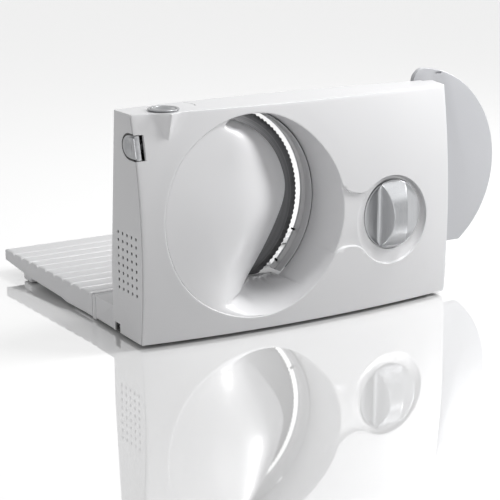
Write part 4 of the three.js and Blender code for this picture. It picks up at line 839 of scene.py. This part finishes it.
stop = {
    "front": 59.0, "rear": 62.0, "low": 32.0, "lobeX": 167.0, "lobeZ": 110.0, "lobeRadius": 97.0,
    "corner": 13.0, "left": 160.6, "plateInner": 86.9, "plateLow": -45.0, "plateHigh": 60.0, "edge": 0.9,
    "stripRight": 185.7, "stripRise": 2.1, "stripInset": 0.4, "slotLow": (188.7, 200.0),
    "slotHigh": (195.9, 201.8), "slotDepth": 1.6, "slotRound": 0.6, "footShift": 3.0,
    "stripSide": 0.3, "stripFoot": 1.0, "stripSunk": 1.5, "stripRound": 0.5,
}
collar = {
    "outer": 87.7, "wall": 87.0, "front": 42.0, "low": -52.0, "high": 72.0, "steps": 84,
    "bead": ((87.0, 54.0), (86.6, 53.4), (86.15, 52.4), (86.0, 51.2), (86.25, 50.1), (86.6, 49.3),
             (86.85, 48.8)),
    "taper": 54.5, "frontOuter": 86.9, "frontInner": 86.5, "bevel": 0.3, "pads": (-24.4, -46.4),
    "padGap": 0.5, "padSunk": 0.2, "padHalves": (0.9, 1.0), "padProud": 1.0, "padBack": 0.6, "padEdge": 0.2,
}
follower = {
    "middle": (91.0, 102.5), "hole": 3.2, "holeSpan": (30.0, 60.0),
    "profile": [(0, 33.3), (0.6, 33.3), (2.5, 38.3), (2.5, 60.0), (0, 60.0)],
}


def stopPlate():
    left, front, rear, low, corner = stop["left"], stop["front"], stop["rear"], stop["low"], stop["corner"]
    plateTop = bore["z"] + stop["plateInner"] * sin(radians(stop["plateHigh"]))
    lobeTop = degrees(acos((left + corner - stop["lobeX"]) / stop["lobeRadius"]))
    lobeEnd = degrees(asin((low - stop["lobeZ"]) / stop["lobeRadius"]))
    cornerZ = stop["lobeZ"] + stop["lobeRadius"] * sin(radians(lobeTop)) - corner
    cornerLine = circleLine((left + corner, cornerZ), corner, 16, 180, 90)
    lobeLine = circleLine((stop["lobeX"], stop["lobeZ"]), stop["lobeRadius"], 90, lobeTop, lobeEnd)[1:]
    outline = circleLine(boreMiddle, stop["plateInner"], 44, stop["plateLow"], stop["plateHigh"])
    outline += [(left, plateTop)] + cornerLine + lobeLine + [(outline[0][0] + stop["footShift"], low)]
    slot = cutterOf("y", (front - 2, front + stop["slotDepth"]),
                    boxOutline(stop["slotLow"], stop["slotHigh"], stop["slotRound"]))
    plate = carved(meshOf(prismShell("y", outline, (front, rear), stop["edge"])), slot)
    # the strip beside the housing slopes back until it is flush with the plate
    inset, side, right = stop["stripInset"], stop["stripSide"], stop["stripRight"]
    stripLow = low + stop["stripFoot"]
    strip = [(left + side, stripLow)] + [(x + side, z - inset) for x, z in cornerLine]
    strip += [(x, z - inset) for x, z in lobeLine if x < right]
    strip += [(right, strip[-1][1]), (right, stripLow)]
    stripSpan = (front - stop["stripRise"], front + stop["stripSunk"])
    stripPoints, stripFaces = prismShell("y", strip, stripSpan, stop["stripRound"])
    sloped = [(x, y + max(0.0, front - y) * clamp((x - left) / (right - left)), z) for x, y, z in stripPoints]
    joinShells(plate, (sloped, stripFaces), turnedShell("y", follower["middle"], follower["profile"], 24))
    makePiece("stopPlate", plate, "stop_plate", "plate", finish=paleGreyAbs)


def plateCollar():
    bevel = collar["bevel"]
    section = [(collar["frontOuter"], collar["front"]), (collar["outer"], collar["taper"]),
               (collar["outer"], stop["rear"] - bevel), (collar["wall"], stop["rear"]), *collar["bead"],
               (collar["frontInner"], collar["front"] + bevel)]
    points, steps = [], collar["steps"]
    for i in range(steps + 1):
        turn = radians(collar["low"] + (collar["high"] - collar["low"]) * i / steps)
        points += [(bore["x"] + r * cos(turn), y, bore["z"] + r * sin(turn)) for r, y in section]
    shell = (points, loftFaces(steps + 1, len(section)))
    makePiece("plateCollar", meshOf(shell), None, "plate", crease=40)
    pads, (tip, root) = [], collar["padHalves"]
    padSpan = (stop["front"] - collar["padProud"], stop["front"] + collar["padBack"])
    for turn in [radians(pad) for pad in collar["pads"]]:
        bladeReach = blade["radius"] - (bore["x"] - bladeAxis[0]) * cos(turn)
        low, high = bladeReach + collar["padGap"], collar["wall"] + collar["padSunk"]
        corners = [(bore["x"] + r * cos(turn) - w * sin(turn), bore["z"] + r * sin(turn) + w * cos(turn))
                   for r, w in ((low, -tip), (high, -root), (high, root), (low, tip))]
        pads.append(prismShell("y", corners, padSpan, collar["padEdge"]))
    makePiece("collarPads", meshOf(*pads), None, "plate", "black_plastic")


stopPlate()
plateCollar()


# Top button with its ring, and the safety key with its seal

button = {
    "x": -126.5, "y": 19.7, "radius": 10.5, "top": 199.5, "dent": 2.6, "dentRise": 2.3, "dentRadius": 7.6,
    "dentSteps": 8,
    "shoulder": ((8.6, 0.1), (9.6, 0.15), (10.2, 0.45), (10.5, 1.0)), "skirt": 8.0, "stem": 4.0,
    "stemLow": 177.2, "holeLow": 186.5, "holeGap": 0.3,
    "ring": [(10.8, 197.6), (12.6, 197.6), (13.3, 198.5), (13.5, 198.9), (13.3, 199.3), (12.8, 199.6),
             (12.2, 199.7), (11.4, 199.5), (10.9, 199.0), (10.8, 198.6), (10.8, 197.6)],
}
key = {
    "z": 170.7, "half": 9.8, "middle": 16.75, "rearHalf": 13.0, "proud": 0.5, "inner": -155.5, "round": 1.4,
    "roundSteps": (0.08, 0.25, 0.55, 0.95, 1.4), "dimple": 2.0, "dimpleRadius": 7.4, "gap": 1.5,
    "sealGap": 0.35, "stem": 3.5, "stemEnd": -140.5, "flange": 5.0, "flangeEnds": (-143.6, -141.6),
    "cutStart": -20.0, "dimpleShift": 1.0, "dimplePower": 1.5, "step": 0.9, "edgeStep": 1.5,
    "sealStart": 0.4, "sealFit": 0.05, "sealSpan": (0.1, 2.3),
}


def topButton():
    top, centre = button["top"], (button["x"], button["y"])
    cap, steps = [(0, top - button["dent"])], button["dentSteps"]
    cap += [(button["dentRadius"] * i / steps, top - button["dent"] + button["dentRise"] * (i / steps) ** 2)
            for i in range(1, steps + 1)]
    cap += [(radius, top - drop) for radius, drop in button["shoulder"]]
    cap += [(button["radius"], top - button["skirt"]), (button["stem"], top - button["skirt"]),
            (button["stem"], button["stemLow"]), (0, button["stemLow"])]
    makePiece("onButton", meshOf(turnedShell("z", centre, cap)), "on_button", "button", "silver_plastic")
    ring = turnedShell("z", centre, button["ring"])
    makePiece("buttonRing", meshOf(ring), "button_bezel", slot="silver_plastic")


def keyFrontLine(z):
    return frontY(-panel["half"], z)


# The key's round rear end, and the same line further out
def keyRound(grow):
    middle, tall = key["middle"], key["half"] + grow
    return [(middle + (y - middle) * (key["rearHalf"] + grow) / tall, z)
            for y, z in circleLine((middle, key["z"]), tall, 30, -90, 90)]


def safetyKey():
    half, middle, keyZ = key["half"], key["middle"], key["z"]
    front = keyFrontLine(keyZ)

    def fromEdge(y, z):
        near = min(half - abs(z - keyZ), y - keyFrontLine(z))
        if y > middle:
            near = min(near, half * (1 - hypot((y - middle) / key["rearHalf"], (z - keyZ) / half)))
        return near

    def faceX(y, z):
        off = ((y - middle - key["dimpleShift"]) ** 2 + (z - keyZ) ** 2) / key["dimpleRadius"] ** 2
        dent = key["dimple"] * max(0.0, 1 - off) ** key["dimplePower"]
        return -panel["half"] - key["proud"] + dent + filletDrop(fromEdge(y, z), key["round"])

    heights = [keyZ - half + 2 * half * i / 10 for i in range(10, -1, -1)]
    outline = [(keyFrontLine(z), z) for z in heights] + keyRound(0.0)
    guides = []
    for d in key["roundSteps"]:
        corners = [(front + d, keyZ + half - d), (front + d, keyZ - half + d)]
        line = fineLine(corners, key["edgeStep"], False)
        guides.append((line + keyRound(-d), True))
    shell = reliefShell([outline], guides, lambda y, z: fromEdge(y, z) > -0.01, key["step"], faceX,
                        lambda y, z: key["inner"], "x")
    start, (flangeLow, flangeHigh), end = key["inner"] - 1, key["flangeEnds"], key["stemEnd"]
    thin, wide = key["stem"], key["flange"]
    profile = [(0, start), (thin, start), (thin, flangeLow), (wide, flangeLow), (wide, flangeHigh),
               (thin, flangeHigh), (thin, end), (0, end)]
    stem = turnedShell("x", (middle, keyZ), profile, 32)
    makePiece("safetyKey", meshOf(shell, stem), "safety_key", "key", "silver_plastic", 40)
    sealStart = front + panel["wall"] + key["sealStart"]
    outer, inner = key["gap"] - key["sealFit"], key["sealGap"]
    outerZ, innerZ = half + outer, half + inner
    seal = [(sealStart, keyZ - outerZ)] + keyRound(outer) + [(sealStart, keyZ + outerZ)]
    seal += [(sealStart, keyZ + innerZ)] + keyRound(inner)[::-1] + [(sealStart, keyZ - innerZ)]
    sealShell = prismShell("x", seal, [-panel["half"] + depth for depth in key["sealSpan"]], 0.1, 1)
    makePiece("keySeal", meshOf(sealShell), slot="black_plastic")


# The springs under the button and behind the key, copied from their CAD meshes
def pressedSpring(name, node):
    cadSpring = frame["nodes"][node]
    mesh = cadSpring.data.copy()
    mesh.transform(cadSpring.matrix_world)
    piece = makePiece(name, mesh, node, slot="spring_steel")
    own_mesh(piece)


topButton()
safetyKey()
pressedSpring("buttonSpring", "button_spring")
pressedSpring("keySpring", "key_spring")


# Carriage deck: rounded ribs, flared ends, channels round the table's rails, and skirts down to the table

carriage = {
    "left": -160.0, "right": 33.0, "flare": 8.0, "near": 98.3, "far": 281.0, "top": 24.4, "ribPitch": 17.5,
    "firstValley": 104.2, "lastRib": 9.5, "ribDepth": 2.5, "ribSteps": 200, "under": 20.2, "ribRound": 0.35,
    "valleyStart": 0.72, "rails": (118.0, 241.0), "railRoom": 6.4, "channelHalf": 9.0, "channelLow": 10.6,
    "lipHalf": 2.4, "lipTop": 13.6, "skirt": 2.4, "skirtLow": 3.6, "farLow": 14.5,
    "skirtLine": ((148.0, 0.0), (160.0, 2.0), (226.0, 5.0)), "hemStep": 6.0,
    "deckSunk": 0.3, "farBevel": 0.5,
    "skirtRoll": ((0.0, 1.1), (0.35, 0.4), (1.0, 0.0), (2.4, 0.0)),
}


def carriageDeck():
    near, far, under, skirt = carriage["near"], carriage["far"], carriage["under"], carriage["skirt"]
    low, farLow, wide = carriage["channelLow"], carriage["farLow"], carriage["channelHalf"]
    lip, lipTop, room = carriage["lipHalf"], carriage["lipTop"], carriage["railRoom"]

    def endX(y, atLeft, depth):
        out = carriage["flare"] * (y - near) / (far - near)
        return carriage["left"] - out + depth if atLeft else carriage["right"] + out - depth

    def ribZ(y):
        along = min((y - carriage["firstValley"]) / carriage["ribPitch"], carriage["lastRib"])
        across = abs(2 * (along % 1) - 1)
        valley = smoothStep(carriage["valleyStart"], 1.0, across)
        crown = carriage["ribRound"]
        return carriage["top"] - carriage["ribDepth"] * (crown * across ** 2 + (1 - crown) * valley)

    places = [near + (far - near) * i / carriage["ribSteps"] for i in range(carriage["ribSteps"] + 1)]
    ribLine = [(y, ribZ(y)) for y in places]
    profile = [(near, under)] + ribLine
    bevel = carriage["farBevel"]
    profile += [(far, farLow + bevel), (far - bevel, farLow), (far - skirt, farLow), (far - skirt, under)]
    channel = [(wide, under), (wide, low), (lip, low), (lip, lipTop), (room, lipTop), (room, under)]
    for rail in reversed(carriage["rails"]):
        profile += [(rail + off, z) for off, z in channel] + [(rail - off, z) for off, z in reversed(channel)]
    depth = skirt - carriage["deckSunk"]
    points = [(endX(y, atLeft, depth), y, z) for atLeft in (True, False) for y, z in profile]
    shells = [(points, loftFaces(2, len(profile)))]
    hemLow = carriage["skirtLow"]
    hem = [(near, hemLow)] + [(y, hemLow + rise) for y, rise in carriage["skirtLine"]] + [(far, farLow)]
    hem = fineLine(hem, carriage["hemStep"], False)
    for atLeft in (True, False):
        points = []
        # the top of the skirt follows the ribs and is rolled over at the outer face
        for depth, drop in carriage["skirtRoll"]:
            edge = hem + [(y, z - drop) for y, z in reversed(ribLine)]
            points += [(endX(y, atLeft, depth), y, z) for y, z in edge]
        shells.append((points, loftFaces(len(carriage["skirtRoll"]), len(edge))))
    makePiece("carriageDeck", meshOf(*shells), "carriage_deck", "carriage", crease=40)


carriageDeck()


# Main housing: the block behind the front panel, hollow, with the outlet, the plate's pocket and the vents

housing = {
    "wall": 2.5, "rear": 56.0, "rearEnd": 45.0, "rearBow": 10.0, "rightDrop": 3.6, "rightStart": 153.0,
    "lean": 0.082, "seam": 0.3, "edgeRound": 1.0, "seamRound": 0.3,
    "roundSteps": (0.06, 0.2, 0.42, 0.7, 1.0), "step": 8.0, "pocketY": 43.0, "pocketLow": 27.0,
    "pocketTop": 180.5, "pocketLeft": -8.0, "pocketRight": 200.0, "pocketEnd": 95.0, "hollowEnd": 90.0,
    "cavityFront": -60.0, "cavityDrop": 30.0, "cavityStep": 12.0, "outletSpan": (25.0, 96.0),
    "axleHole": 7.15, "axleSpan": (20.0, 80.0), "screwX": 151.0, "screwHole": 3.3, "screwDepth": 2.2,
    "screwTop": 188.0, "screwLow": (33.0, 38.0), "screwReach": 20.0, "over": 4.0,
    "roomLow": (160.35, 27.0), "roomHigh": (178.0, 205.0), "roomSpan": (41.6, 93.0),
}
vents = {
    "columns": 5, "rows": 8, "radius": 1.5, "y": 8.6, "z": 44.5, "pitchY": 8.3, "pitchZ": 7.0, "skin": 0.5,
    "border": 4.0, "shadeGuardHole": 0.7,
}
notch = {"y": 47.0, "half": 5.0, "height": 8.0, "shadeGrommetHole": 2.2}
groove = {"middle": (-105.0, 36.9), "radius": 15.9, "width": 1.1, "depth": 1.2, "turns": (-34.0, 41.0)}


def rearY(x, z):
    across = x / panel["half"]
    lean = housing["rearEnd"] + housing["rearBow"] * (1 - across * across)
    lean += housing["lean"] * (panel["top"] - z)
    drop = housing["rightDrop"] * smoothStep(housing["rightStart"], panel["half"], x)
    return min(housing["rear"], lean) - drop


def curvedBlock(half, low, top, front, back, rounds, step):
    def fromEdge(x, z):
        return frameGap(x, z, half, low, top)

    guides = [(frameLine(half, low, top, radius * share, step), True)
              for share in housing["roundSteps"] for radius in rounds if radius > 0]
    loop = frameLine(half, low, top, 0.0, step)
    return reliefShell([loop], guides, lambda x, z: fromEdge(x, z) > -1e-4, step,
                       lambda x, z: front(x, z) + filletDrop(fromEdge(x, z), rounds[0]),
                       lambda x, z: back(x, z) - filletDrop(fromEdge(x, z), rounds[1]))


# slack keeps the walls of two cuts from lying in one plane
def pocketOutline(grow, slack):
    low, left = housing["pocketLow"] - grow, housing["pocketLeft"] - grow
    top, right, ledge = housing["pocketTop"] + grow, housing["pocketRight"], dish["outletLow"] + slack
    heights = [low + (ledge - low) * i / 4 for i in range(5)]
    line = [(boreX(z, bore["radius"] + 0.3 + slack, 1), z) for z in heights] + [(left, ledge)]
    line += [(x + slack, z) for x, z in outletEdge if x > left]
    return line + [(left, top), (right, top), (right, low)]


def outletOutline(radius):
    low = dish["outletLow"] - 0.1
    edge = [(x - 0.05, z) for x, z in outletEdge]
    endTurn = degrees(asin((low - bore["z"]) / radius))
    tail = [(edge[0][0] + 6.0, low), (tailTip[0] - 0.5, tailTip[1] - 0.4), (edge[0][0] - 0.4, low)]
    return tail + edge[1:] + circleLine(boreMiddle, radius, 90, arcTopTurn(radius), endTurn)


ventPlaces = [(vents["y"] + i * vents["pitchY"], vents["z"] + j * vents["pitchZ"])
              for i in range(vents["columns"]) for j in range(vents["rows"])]


def ventField(border):
    (lowY, lowZ), (highY, highZ) = ventPlaces[0], ventPlaces[-1]
    return boxOutline((lowY - border, lowZ - border), (highY + border, highZ + border))


def mainHousing():
    half, low, top, wall = panel["half"], panel["low"], panel["top"], housing["wall"]
    outer = curvedBlock(half, low, top, lambda x, z: frontY(x, z) + panel["wall"] + housing["seam"], rearY,
                        (housing["seamRound"], housing["edgeRound"]), housing["step"])
    cavity = curvedBlock(half - wall, low - housing["cavityDrop"], top - wall,
                         lambda x, z: housing["cavityFront"], lambda x, z: rearY(x, z) - wall,
                         (0.0, 0.0), housing["cavityStep"])
    pocketY, over = housing["pocketY"], housing["over"]
    outside = -half - over
    pocketWall = cutterOf("y", (pocketY - wall, housing["hollowEnd"]), pocketOutline(wall, 0.1))
    hollow = carved(meshOf(cavity), pocketWall)
    cutStart, cutHalf = key["cutStart"], key["half"] + key["gap"]
    keyLine = [(cutStart, key["z"] - cutHalf), *keyRound(key["gap"]), (cutStart, key["z"] + cutHalf)]
    middle, radius, turns = groove["middle"], groove["radius"], groove["turns"]
    arc = circleLine(middle, radius + groove["width"] / 2, 24, *turns)
    arc += circleLine(middle, radius - groove["width"] / 2, 24, *turns[::-1])
    through = (outside, -half + wall + 1)
    cutters = [
        cutterOf("y", (pocketY, housing["pocketEnd"]), pocketOutline(0.0, 0.0)),
        hollow,
        cutterOf("y", housing["outletSpan"], outletOutline(bore["radius"] + 0.4)),
        cutterOf("x", (-half + vents["skin"], -half + wall + 0.6), ventField(vents["border"])),
        cutterOf("x", through, *(circleLine(place, vents["radius"], 16) for place in ventPlaces)),
        cutterOf("x", through, boxOutline((notch["y"] - notch["half"], low - over),
                                          (notch["y"] + notch["half"], low + notch["height"]))),
        cutterOf("x", (outside, -half + wall + 0.3), keyLine),
        cutterOf("z", (button["holeLow"], top + over),
                 circleLine((button["x"], button["y"]), button["radius"] + button["holeGap"], 48)),
        cutterOf("z", (top - groove["depth"], top + over), arc),
        cutterOf("y", housing["axleSpan"], circleLine(bladeAxis, housing["axleHole"], 32)),
        cutterOf("y", follower["holeSpan"], circleLine(follower["middle"], follower["hole"], 24)),
    ]
    screwX, screwTop, (lowLeft, lowRight) = housing["screwX"], housing["screwTop"], housing["screwLow"]
    for x, z, rear in ((-screwX, screwTop, rearY(-screwX, screwTop)),
                       (screwX, screwTop, rearY(screwX, screwTop)),
                       (-screwX, lowLeft, housing["rear"]), (screwX, lowRight, pocketY)):
        cutters.append(cutterOf("y", (rear - housing["screwDepth"], rear + housing["screwReach"]),
                                circleLine((x, z), housing["screwHole"], 24)))
    # the slanted end leaves room for the stop plate at full slide
    room = cutterOf("y", housing["roomSpan"], boxOutline(housing["roomLow"], housing["roomHigh"]))
    shaped = carved(flareMesh(carved(meshOf(outer), *cutters)), room)
    makePiece("mainHousing", shaped, "main_housing", crease=40)
    # black guard with small holes behind the vents, its black a painted shade for the dark inside of the
    # housing; and a rubber grommet in the cord notch, also black as painted shade
    shadeGuardSpan = (-half + vents["skin"] + 0.1, -half + wall + 0.4)
    shadeGuard = prismShell("x", ventField(vents["border"] - 0.3), shadeGuardSpan, 0.1, 1)
    shadeGuardHoles = cutterOf("x", through, *(circleLine(place, vents["shadeGuardHole"], 8) for place in ventPlaces))
    makePiece("ventGuardShade", carved(meshOf(shadeGuard), shadeGuardHoles), slot="black_plastic")
    # the grommet is black rubber, and its black is also a painted shade for the dark inside of the cord notch
    shadeGrommetLine = boxOutline((notch["y"] - notch["half"] + 0.1, low + 0.2),
                             (notch["y"] + notch["half"] - 0.1, low + notch["height"] - 0.1), 1.0)
    shadeGrommet = prismShell("x", shadeGrommetLine, (-half + 1.0, -half + wall + 1.2), 0.3)
    cordPlace = (notch["y"], low + notch["height"] / 2)
    cordHole = cutterOf("x", through, circleLine(cordPlace, notch["shadeGrommetHole"], 24))
    makePiece("cordGrommetShade", carved(meshOf(shadeGrommet), cordHole), slot="rubber")


# Base with its rear block and hinge ears, and the folding table with its leg and rails

hinge = {"y": 94.6, "z": 20.9, "knuckle": 3.3, "earX": 123.0, "earHalf": 5.0, "earGap": 0.3}
base = {
    "front": 56.3, "rear": 91.0, "top": 24.4, "low": 3.0, "solid": 13.0, "edge": 1.2,
    "bladeSpan": (56.0, 66.8), "bladeGap": 2.0, "plateLow": 5.0, "plateTop": 8.0, "plateGap": 0.8,
    "plateSteps": 40, "bracketHalf": 6.0, "bracketTop": 12.0, "bracketSpan": (-151.75, -149.25),
    "earSunk": 1.5, "sideGap": 0.3, "plateSunk": 1.0, "bracketSunk": 1.0,
}
table = {
    "half": 158.0, "low": 1.2, "top": 3.2, "near": 150.0, "narrow": 100.0, "corner": 12.0, "legNear": 232.0,
    "legFar": 250.0, "legHalf": 162.0, "legTop": 8.8, "railLeft": -43.0, "railRight": 29.0, "railFoot": 2.0,
    "railHalf": 6.0, "railLow": 14.0, "railTop": 19.9, "cheek": 159.9, "cheekRadius": 3.1, "wallTop": 17.0,
    "wallGap": 0.15, "wallSunk": 0.5, "wallLap": 0.5, "tongueSunk": 2.0, "edge": 0.6, "legRound": 1.5,
    "legEdge": 1.2, "cheekSunk": 0.4, "railSunk": 1.0,
}
hingeMiddle = (hinge["y"], hinge["z"])


def baseFrame():
    half, edge, wall, back = panel["half"], base["edge"], housing["wall"], base["rear"] - base["earSunk"]
    inside = half - wall - base["sideGap"]
    blockLine = boxOutline((base["front"], base["low"]), (base["rear"], base["top"]), edge)
    hollow = cutterOf("z", (base["low"] - 2, base["top"] - wall),
                      boxOutline((-inside, base["front"] + base["solid"]), (inside, base["rear"] - wall)))
    room = cutterOf("y", base["bladeSpan"], circleLine(bladeAxis, blade["radius"] + base["bladeGap"], 120))
    shaped = carved(meshOf(prismShell("x", blockLine, (-half, half), edge)), hollow, room)
    earLow, earHigh = hinge["z"] - hinge["knuckle"], hinge["z"] + hinge["knuckle"]
    ear = [(back, earLow), (hinge["y"], earLow), *circleLine(hingeMiddle, hinge["knuckle"], 24, -85, 85),
           (hinge["y"], earHigh), (back, earHigh)]
    extras = [prismShell("x", ear, (x - hinge["earHalf"], x + hinge["earHalf"]), 0.4)
              for x in (-hinge["earX"], hinge["earX"])]
    across = [-inside + 2 * inside * i / base["plateSteps"] for i in range(base["plateSteps"] + 1)]
    plate = [(x, frontY(x, base["plateLow"]) + panel["wall"] + base["plateGap"]) for x in across]
    plateEnd = base["front"] + base["plateSunk"]
    plate += [(inside, plateEnd), (-inside, plateEnd)]
    extras.append(prismShell("z", plate, (base["plateLow"], base["plateTop"]), 0.3))
    bracket = boxOutline((notch["y"] - base["bracketHalf"], base["plateTop"] - base["bracketSunk"]),
                         (notch["y"] + base["bracketHalf"], base["plateTop"] + base["bracketTop"]))
    extras.append(prismShell("x", bracket, base["bracketSpan"], 0.2))
    joinShells(shaped, *extras)
    makePiece("baseFrame", shaped, "base_frame", crease=40)


def foldingTable():
    half, low, top, corner, near = table["half"], table["low"], table["top"], table["corner"], table["near"]
    wallNear, wallFar = hinge["y"] + table["wallGap"], hinge["y"] + hinge["knuckle"]
    wallLow, sunk, edge = low + table["wallSunk"], table["tongueSunk"], table["edge"]
    plan = [(-half, wallNear), (half, wallNear)]
    plan += circleLine((half - corner, near - corner), corner, 12, 0, 90)
    plan += circleLine((corner - half, near - corner), corner, 12, 90, 180)
    tongue = boxOutline((-table["narrow"], near - sunk), (table["narrow"], table["legNear"] + sunk))
    leg = boxOutline((table["legNear"], low), (table["legFar"], table["legTop"]), table["legRound"])
    shells = [prismShell("z", plan, (low, top), edge), prismShell("z", tongue, (low, top), edge),
              prismShell("x", leg, (-table["legHalf"], table["legHalf"]), table["legEdge"])]
    # the hinge wall with its knuckles leaves room for the base's ears, and a lower wall joins it there
    ear, earEnds = hinge["earX"], hinge["earHalf"] + hinge["earGap"]
    wall = [(wallNear, wallLow), (wallFar, wallLow), *circleLine(hingeMiddle, hinge["knuckle"], 30, 0, 268)]
    for span in ((-half, -ear - earEnds), (-ear + earEnds, ear - earEnds), (ear + earEnds, half)):
        shells.append(prismShell("x", wall, span, 0.3))
    radius = table["cheekRadius"]
    cheek = [(hinge["y"] - radius, wallLow), (hinge["y"] + radius, wallLow)]
    cheek += circleLine(hingeMiddle, radius, 20, 0, 180)
    for side in (-1, 1):
        cheekSpan = (side * table["cheek"], side * (half - table["cheekSunk"]))
        shells.append(prismShell("x", cheek, cheekSpan, 0.2))
    for x in (-ear, ear):
        shells.append(prismShell("x", boxOutline((wallNear, wallLow), (wallFar, table["wallTop"])),
                                 (x - earEnds - table["wallLap"], x + earEnds + table["wallLap"]), 0.2))
    foot, wide, railLow, railTop = table["railFoot"], table["railHalf"], table["railLow"], table["railTop"]
    for y, ground in zip(carriage["rails"], (top, table["legTop"])):
        railFoot = ground - table["railSunk"]
        rail = [(y - foot, railFoot), (y + foot, railFoot), (y + foot, railLow), (y + wide, railLow),
                (y + wide, railTop), (y - wide, railTop), (y - wide, railLow), (y - foot, railLow)]
        shells.append(prismShell("x", rail, (table["railLeft"], table["railRight"]), 0.3))
    makePiece("foldingTable", meshOf(*shells), "folding_table", "table", crease=40)


mainHousing()
baseFrame()
foldingTable()
print("pieces ready")


# Stage: pale glossy floor, camera at the photograph's angle, soft studio light

floorSize = 6.0
view = {"eye": (-697.5, -1064.0, 403.4), "target": (-54.4, 0.0, 72.2), "lens": 107.1, "sensor": 36.0}
# turn: degrees right of the front's normal; rise: degrees above the floor; level: brightness of a facing
# surface
lamps = {
    "keySide": {"turn": 75, "rise": 28, "far": 1.1, "size": 0.32, "level": 0.6},
    "keyTop": {"turn": 62, "rise": 66, "far": 1.3, "size": 0.3, "level": 0.45},
    "fillLeft": {"turn": -64, "rise": 8, "far": 2.6, "size": 1.2, "level": 0.23},
    "fillFront": {"turn": 20, "rise": 6, "far": 2.6, "size": 0.8, "level": 0.06},
    "knobGlint": {"turn": 36, "rise": 33, "far": 2.2, "size": 0.4, "level": 0.05},
}
lampTarget = (0, 20, 90)


# 1 where the camera sees a surface straight or in a mirror, 0 for the light that it throws on others
def seenShare(material):
    path = addNode(material, "LightPath")
    return addNode(material, "Math", {"operation": "MAXIMUM"},
                   {0: path.outputs["Is Camera Ray"], 1: path.outputs["Is Glossy Ray"]}).outputs[0]


# White acrylic sheet: mirrors what stands on it, glows a little where nothing is near, and throws back less
# than it shows
def whiteSheet(name):
    material = blankMaterial(name)
    bounce = addNode(material, "BsdfDiffuse", {"Color": linear("#a8a8a8")})
    free = addNode(material, "AmbientOcclusion", {"samples": 8, "Distance": 0.03})
    glow = addNode(material, "MapRange", {"To Max": 0.3}, {"Value": free.outputs["AO"]})
    sheet = addNode(material, "BsdfPrincipled",
                    {"Base Color": linear("#fafafa"), "Roughness": 0.5, "IOR": 1.49,
                     "Emission Color": linear("#ffffff")}, {"Emission Strength": glow.outputs[0]})
    mirror = addNode(material, "BsdfGlossy", {"Color": linear("#ffffff"), "Roughness": 0.03})
    gloss = addNode(material, "MixShader", {"Fac": 0.58}, {1: sheet.outputs[0], 2: mirror.outputs[0]})
    surface = addNode(material, "MixShader", None,
                      {0: seenShare(material), 1: bounce.outputs[0], 2: gloss.outputs[0]})
    return closeMaterial(material, surface)


def buildStage():
    mesh = bpy.data.meshes.new("floor")
    corners = boxOutline((-floorSize, -floorSize), (floorSize, floorSize))
    mesh.from_pydata([(x, y, 0) for x, y in corners], [], [[0, 1, 2, 3]])
    floor = bpy.data.objects.new("floor", mesh)
    scene.collection.objects.link(floor)
    mesh.materials.append(whiteSheet("whiteAcrylicSheet"))


def aim(thing, target):
    thing.rotation_euler = (target - thing.location).to_track_quat("-Z", "Y").to_euler()


def buildCamera():
    data = bpy.data.cameras.new("camera")
    data.lens = view["lens"]
    data.sensor_width = view["sensor"]
    camera = bpy.data.objects.new("camera", data)
    scene.collection.objects.link(camera)
    camera.location = toScene(*view["eye"])
    aim(camera, toScene(*view["target"]))
    scene.camera = camera


def buildLight():
    target = toScene(*lampTarget)
    for name, lamp in lamps.items():
        data = bpy.data.lights.new(name, "AREA")
        data.shape = "DISK"
        data.size = lamp["size"]
        data.energy = lamp["level"] * pi ** 2 * lamp["far"] ** 2
        light = bpy.data.objects.new(name, data)
        scene.collection.objects.link(light)
        turn, rise = radians(lamp["turn"]), radians(lamp["rise"])
        away = Vector((sin(turn) * cos(rise), -cos(turn) * cos(rise), sin(rise)))
        light.location = target + away * lamp["far"]
        aim(light, target)
    world = bpy.data.worlds.new("studio")
    scene.world = world
    world.use_nodes = True
    world.node_tree.nodes.clear()
    strength = addNode(world, "MapRange", {"To Min": 0.21, "To Max": 1.0}, {"Value": seenShare(world)})
    glow = addNode(world, "Background", {"Color": linear("#ffffff")}, {"Strength": strength.outputs[0]})
    addNode(world, "OutputWorld", None, {"Surface": glow.outputs[0]})


buildStage()
buildCamera()
buildLight()
scene.view_settings.view_transform = "Standard"
print("stage ready")
